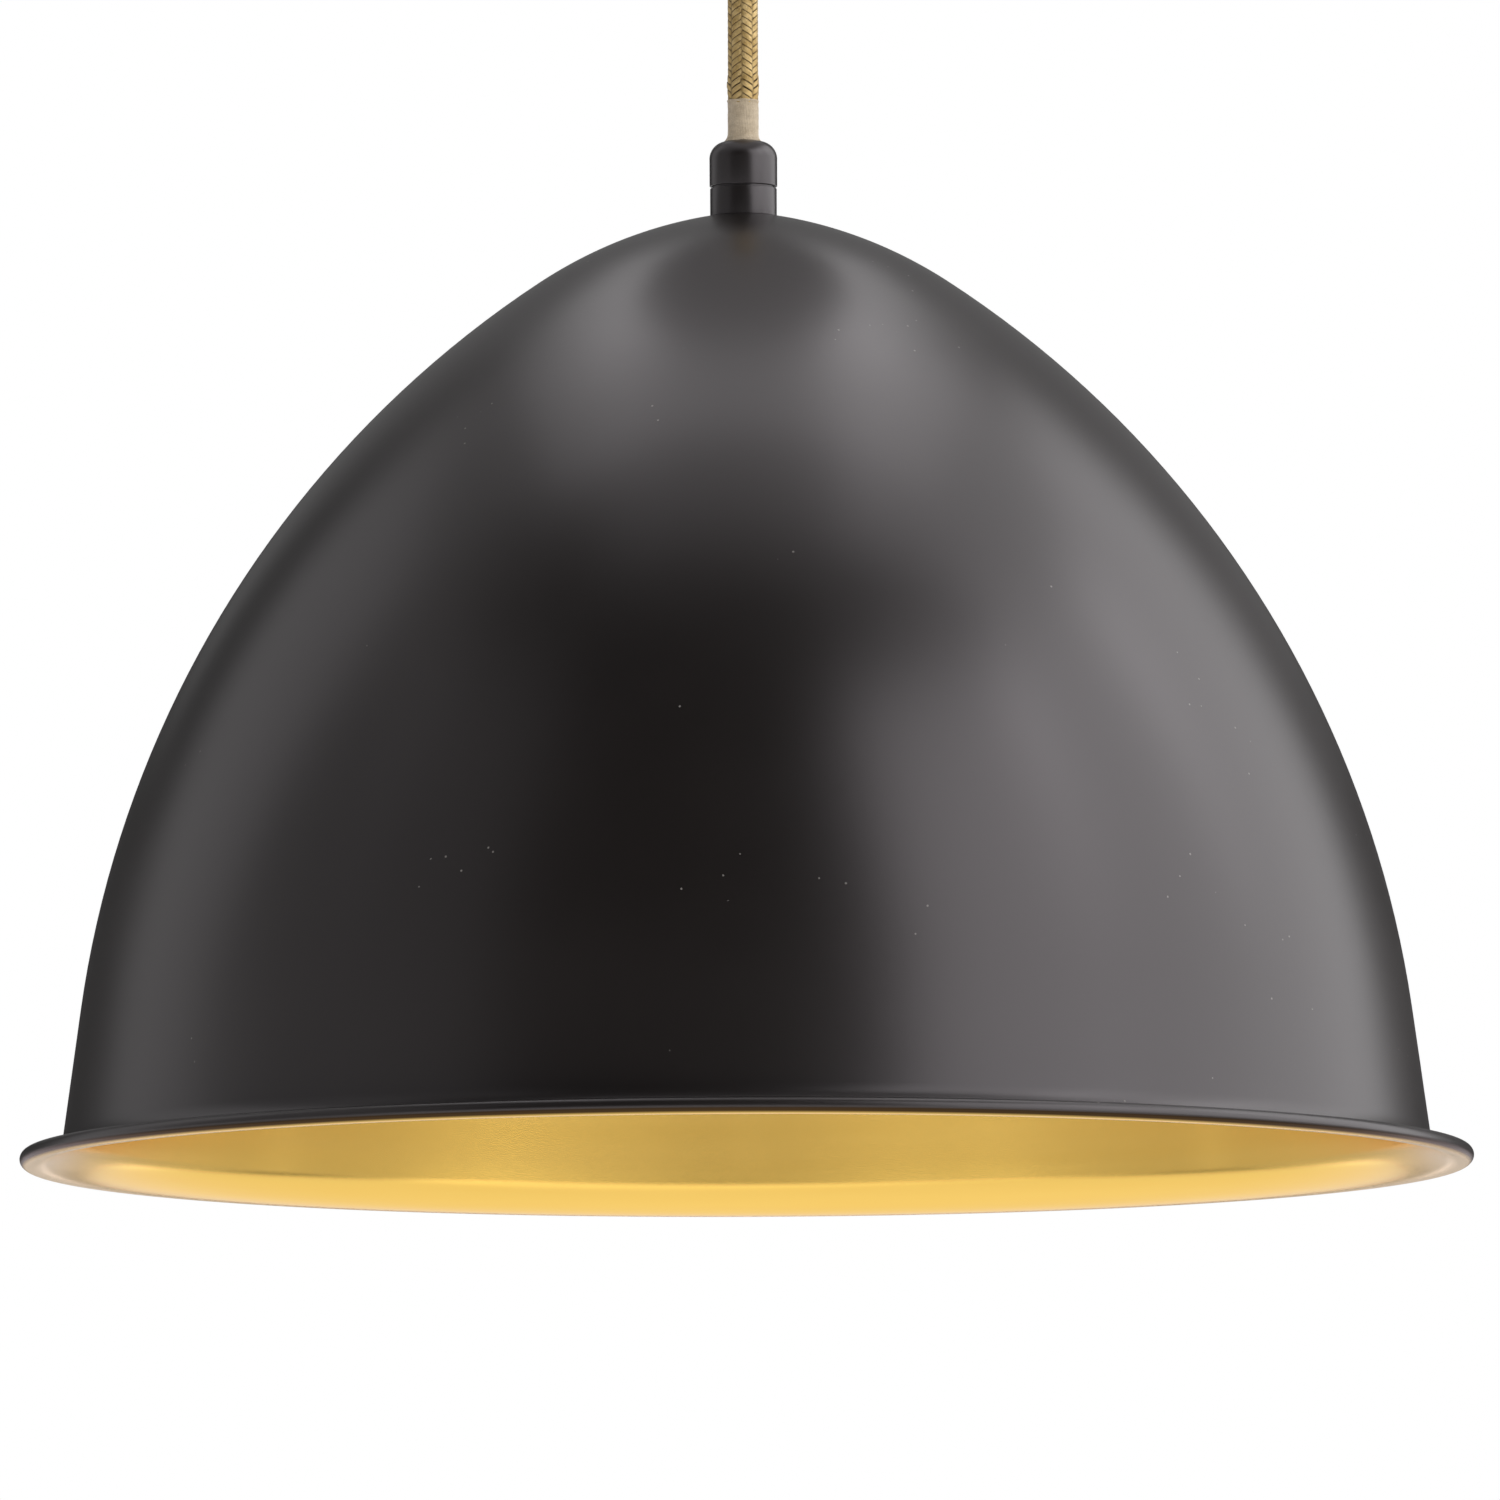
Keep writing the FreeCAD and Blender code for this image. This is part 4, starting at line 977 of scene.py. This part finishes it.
def lampCollarPiece():
    s = lampSet
    low, high = lowOf("bulb_collar").z, highOf("bulb_collar").z
    rows = 14
    outline = [(s["foot"] - 1.5 * mm, high), (s["foot"] - 0.4 * mm, high),
               (s["foot"], high - 0.4 * mm), (s["foot"], high - 2 * mm)]
    for row in range(1, rows + 1):
        share = row / rows
        swell = s["foot"] + (s["top"] - s["foot"]) * share ** 1.12
        outline.append((swell, high - 2 * mm + (low + 2.4 * mm - high) * share))
    outline += rounded([(s["top"], low, 0.5 * mm), (s["top"] - 1.5 * mm, low, 0.3 * mm),
                        (s["foot"] - 1.5 * mm, high - 2 * mm, 0)])

    def fins(r, z, turn):
        share = (high - 2 * mm - z) / (high - low - 4 * mm)
        if r < s["foot"] - 0.2 * mm or not 0.05 < share < 0.97:
            return r, z
        fade = math.sin(math.pi * share) ** 0.5
        return r - s["finDepth"] * fade * (0.5 + 0.5 * math.cos(s["fins"] * turn)) ** 4, z

    turnedPiece("lampCollarPiece", outline, "lamp_collar", "bulb", "bulb_collar",
                around=240, ripple=fins)


def opalGlobe():
    s = lampSet
    low, high = lowOf("bulb_globe").z, highOf("bulb_globe").z
    mouth = s["top"] - 0.2 * mm
    centre = (0, low + s["globe"])
    end = math.degrees(math.asin((high - centre[1]) / s["globe"]))
    outline = arc(centre, s["globe"], -90, end, 48)
    outline[0] = (0, low)
    outline += [(mouth - 1 * mm, high)]
    inner = arc(centre, s["globe"] - 1 * mm, end, -90, 48)
    inner[-1] = (0, low + 1 * mm)
    turnedPiece("opalGlobe", outline + inner[1:], "opal_globe", "bulb", "bulb_globe", around=128)


pressedCanopy()
threadedStuds()
terminalScrews()
groundScrewPiece()
ribbedConnectors()
holderCapPiece()
holderBodyPiece()
threadedShell()
lampCapPiece()
lampCollarPiece()
opalGlobe()
print("canopy, holder and lamp made")


# The CAD pieces whose shape is kept get their finishes

def finishKept():
    slots = {part["node"]: part["material_slot"] for part in frame["record"]["subparts"]}
    for name, node in frame["nodes"].items():
        finish = finishes[slots[name]]
        node.data.materials.clear()
        node.data.materials.append(finish)


finishKept()


# Room: floor, background and soft studio light

roomSet = {"floor": -11, "floorSide": 60, "paper": (0.86, 0.86, 0.85), "glow": 0.62, "dim": 0.05}


def paleFloor():
    made = bmesh.new()
    bmesh.ops.create_grid(made, x_segments=8, y_segments=8, size=roomSet["floorSide"] / 2)
    mesh = bpy.data.meshes.new("paleFloor")
    made.to_mesh(mesh)
    made.free()
    floor = bpy.data.objects.new("paleFloor", mesh)
    floor.location.z = roomSet["floor"]
    bpy.context.scene.collection.objects.link(floor)
    paper = Finish("paleFloor")
    cloud = paper.grain(0.8, 2)
    tone = paper.mix(cloud, roomSet["paper"], tuple(c * 1.03 for c in roomSet["paper"]))
    mesh.materials.append(paper.done({"Base Color": tone, "Roughness": 0.7,
                                      "Emission Color": tone, "Emission Strength": roomSet["glow"]}))


def whiteRoom():
    world = bpy.data.worlds.new("studio")
    world.use_nodes = True
    tree = world.node_tree
    tree.nodes.clear()
    end = tree.nodes.new("ShaderNodeOutputWorld")
    mix = tree.nodes.new("ShaderNodeMixShader")
    path = tree.nodes.new("ShaderNodeLightPath")
    tree.links.new(path.outputs["Is Camera Ray"], mix.inputs[0])
    for index, level in ((1, roomSet["dim"]), (2, 1.0)):
        sky = tree.nodes.new("ShaderNodeBackground")
        sky.inputs["Color"].default_value = (level, level, level, 1)
        tree.links.new(sky.outputs[0], mix.inputs[index])
    tree.links.new(mix.outputs[0], end.inputs[0])
    bpy.context.scene.world = world


# a row of equal soft boxes on an arc: from and to angle round the object (0 at the viewer,
# + to the right), how many, angle up, span up, distance, brightness
lightSet = {
    "right": (28, 136, 3, 22, 54, 3, 1.6),
    "left": (-135, -105, 1, 22, 54, 3, 0.5),
    "leftFaint": (-105, -45, 2, 22, 54, 3, 0.2),
    "rightTop": (80, 120, 1, 64, 28, 3, 1.0),
    "leftTop": (-130, -100, 1, 64, 28, 3, 0.3),
    "backTop": (160, 200, 1, 62, 28, 3, 1.2),
    "back": (155, 205, 1, 30, 34, 3, 0.2),
    "overhead": (-20, 20, 1, 90, 40, 3, 0.5),
    "underCanopy": (-30, 30, 1, 90, 60, 0.22, 0.2),
    "low": (-180, 180, 4, -13, 16, 3, 0.6),
    "frontFloor": (-30, 60, 1, -29, 16, 3, 0.3),
    "below": (-70, 70, 1, -90, 140, 3, 0.5),
}
lightMiddle = Vector((0, 0, -0.27))
narrowBeam = 105  # degrees, for a light so close that it would wash out the cord beside it


def softBox(name, azimuth, elevation, spanRound, spanUp, distance, bright):
    data = bpy.data.lights.new(name, "AREA")
    data.shape = "RECTANGLE"
    if distance < 1:
        data.spread = math.radians(narrowBeam)
    data.size = 2 * distance * math.tan(math.radians(spanRound / 2))
    data.size_y = 2 * distance * math.tan(math.radians(spanUp / 2))
    data.energy = bright * math.pi * data.size * data.size_y
    light = bpy.data.objects.new(name, data)
    bpy.context.scene.collection.objects.link(light)
    turn = math.radians(azimuth)
    rise = math.radians(elevation)
    out = Vector((math.sin(turn) * math.cos(rise), -math.cos(turn) * math.cos(rise),
                  math.sin(rise)))
    light.location = lightMiddle + out * distance
    light.rotation_euler = out.to_track_quat("Z", "Y").to_euler()
    light.visible_camera = False


def lightRow(name):
    first, last, lights, elevation, spanUp, distance, bright = lightSet[name]
    span = (last - first) / lights
    for index in range(lights):
        softBox("%s%d" % (name, index), first + span * (index + 0.5), elevation, span, spanUp,
                distance, bright)


paleFloor()
whiteRoom()
for name in lightSet:
    lightRow(name)
print("room lit")
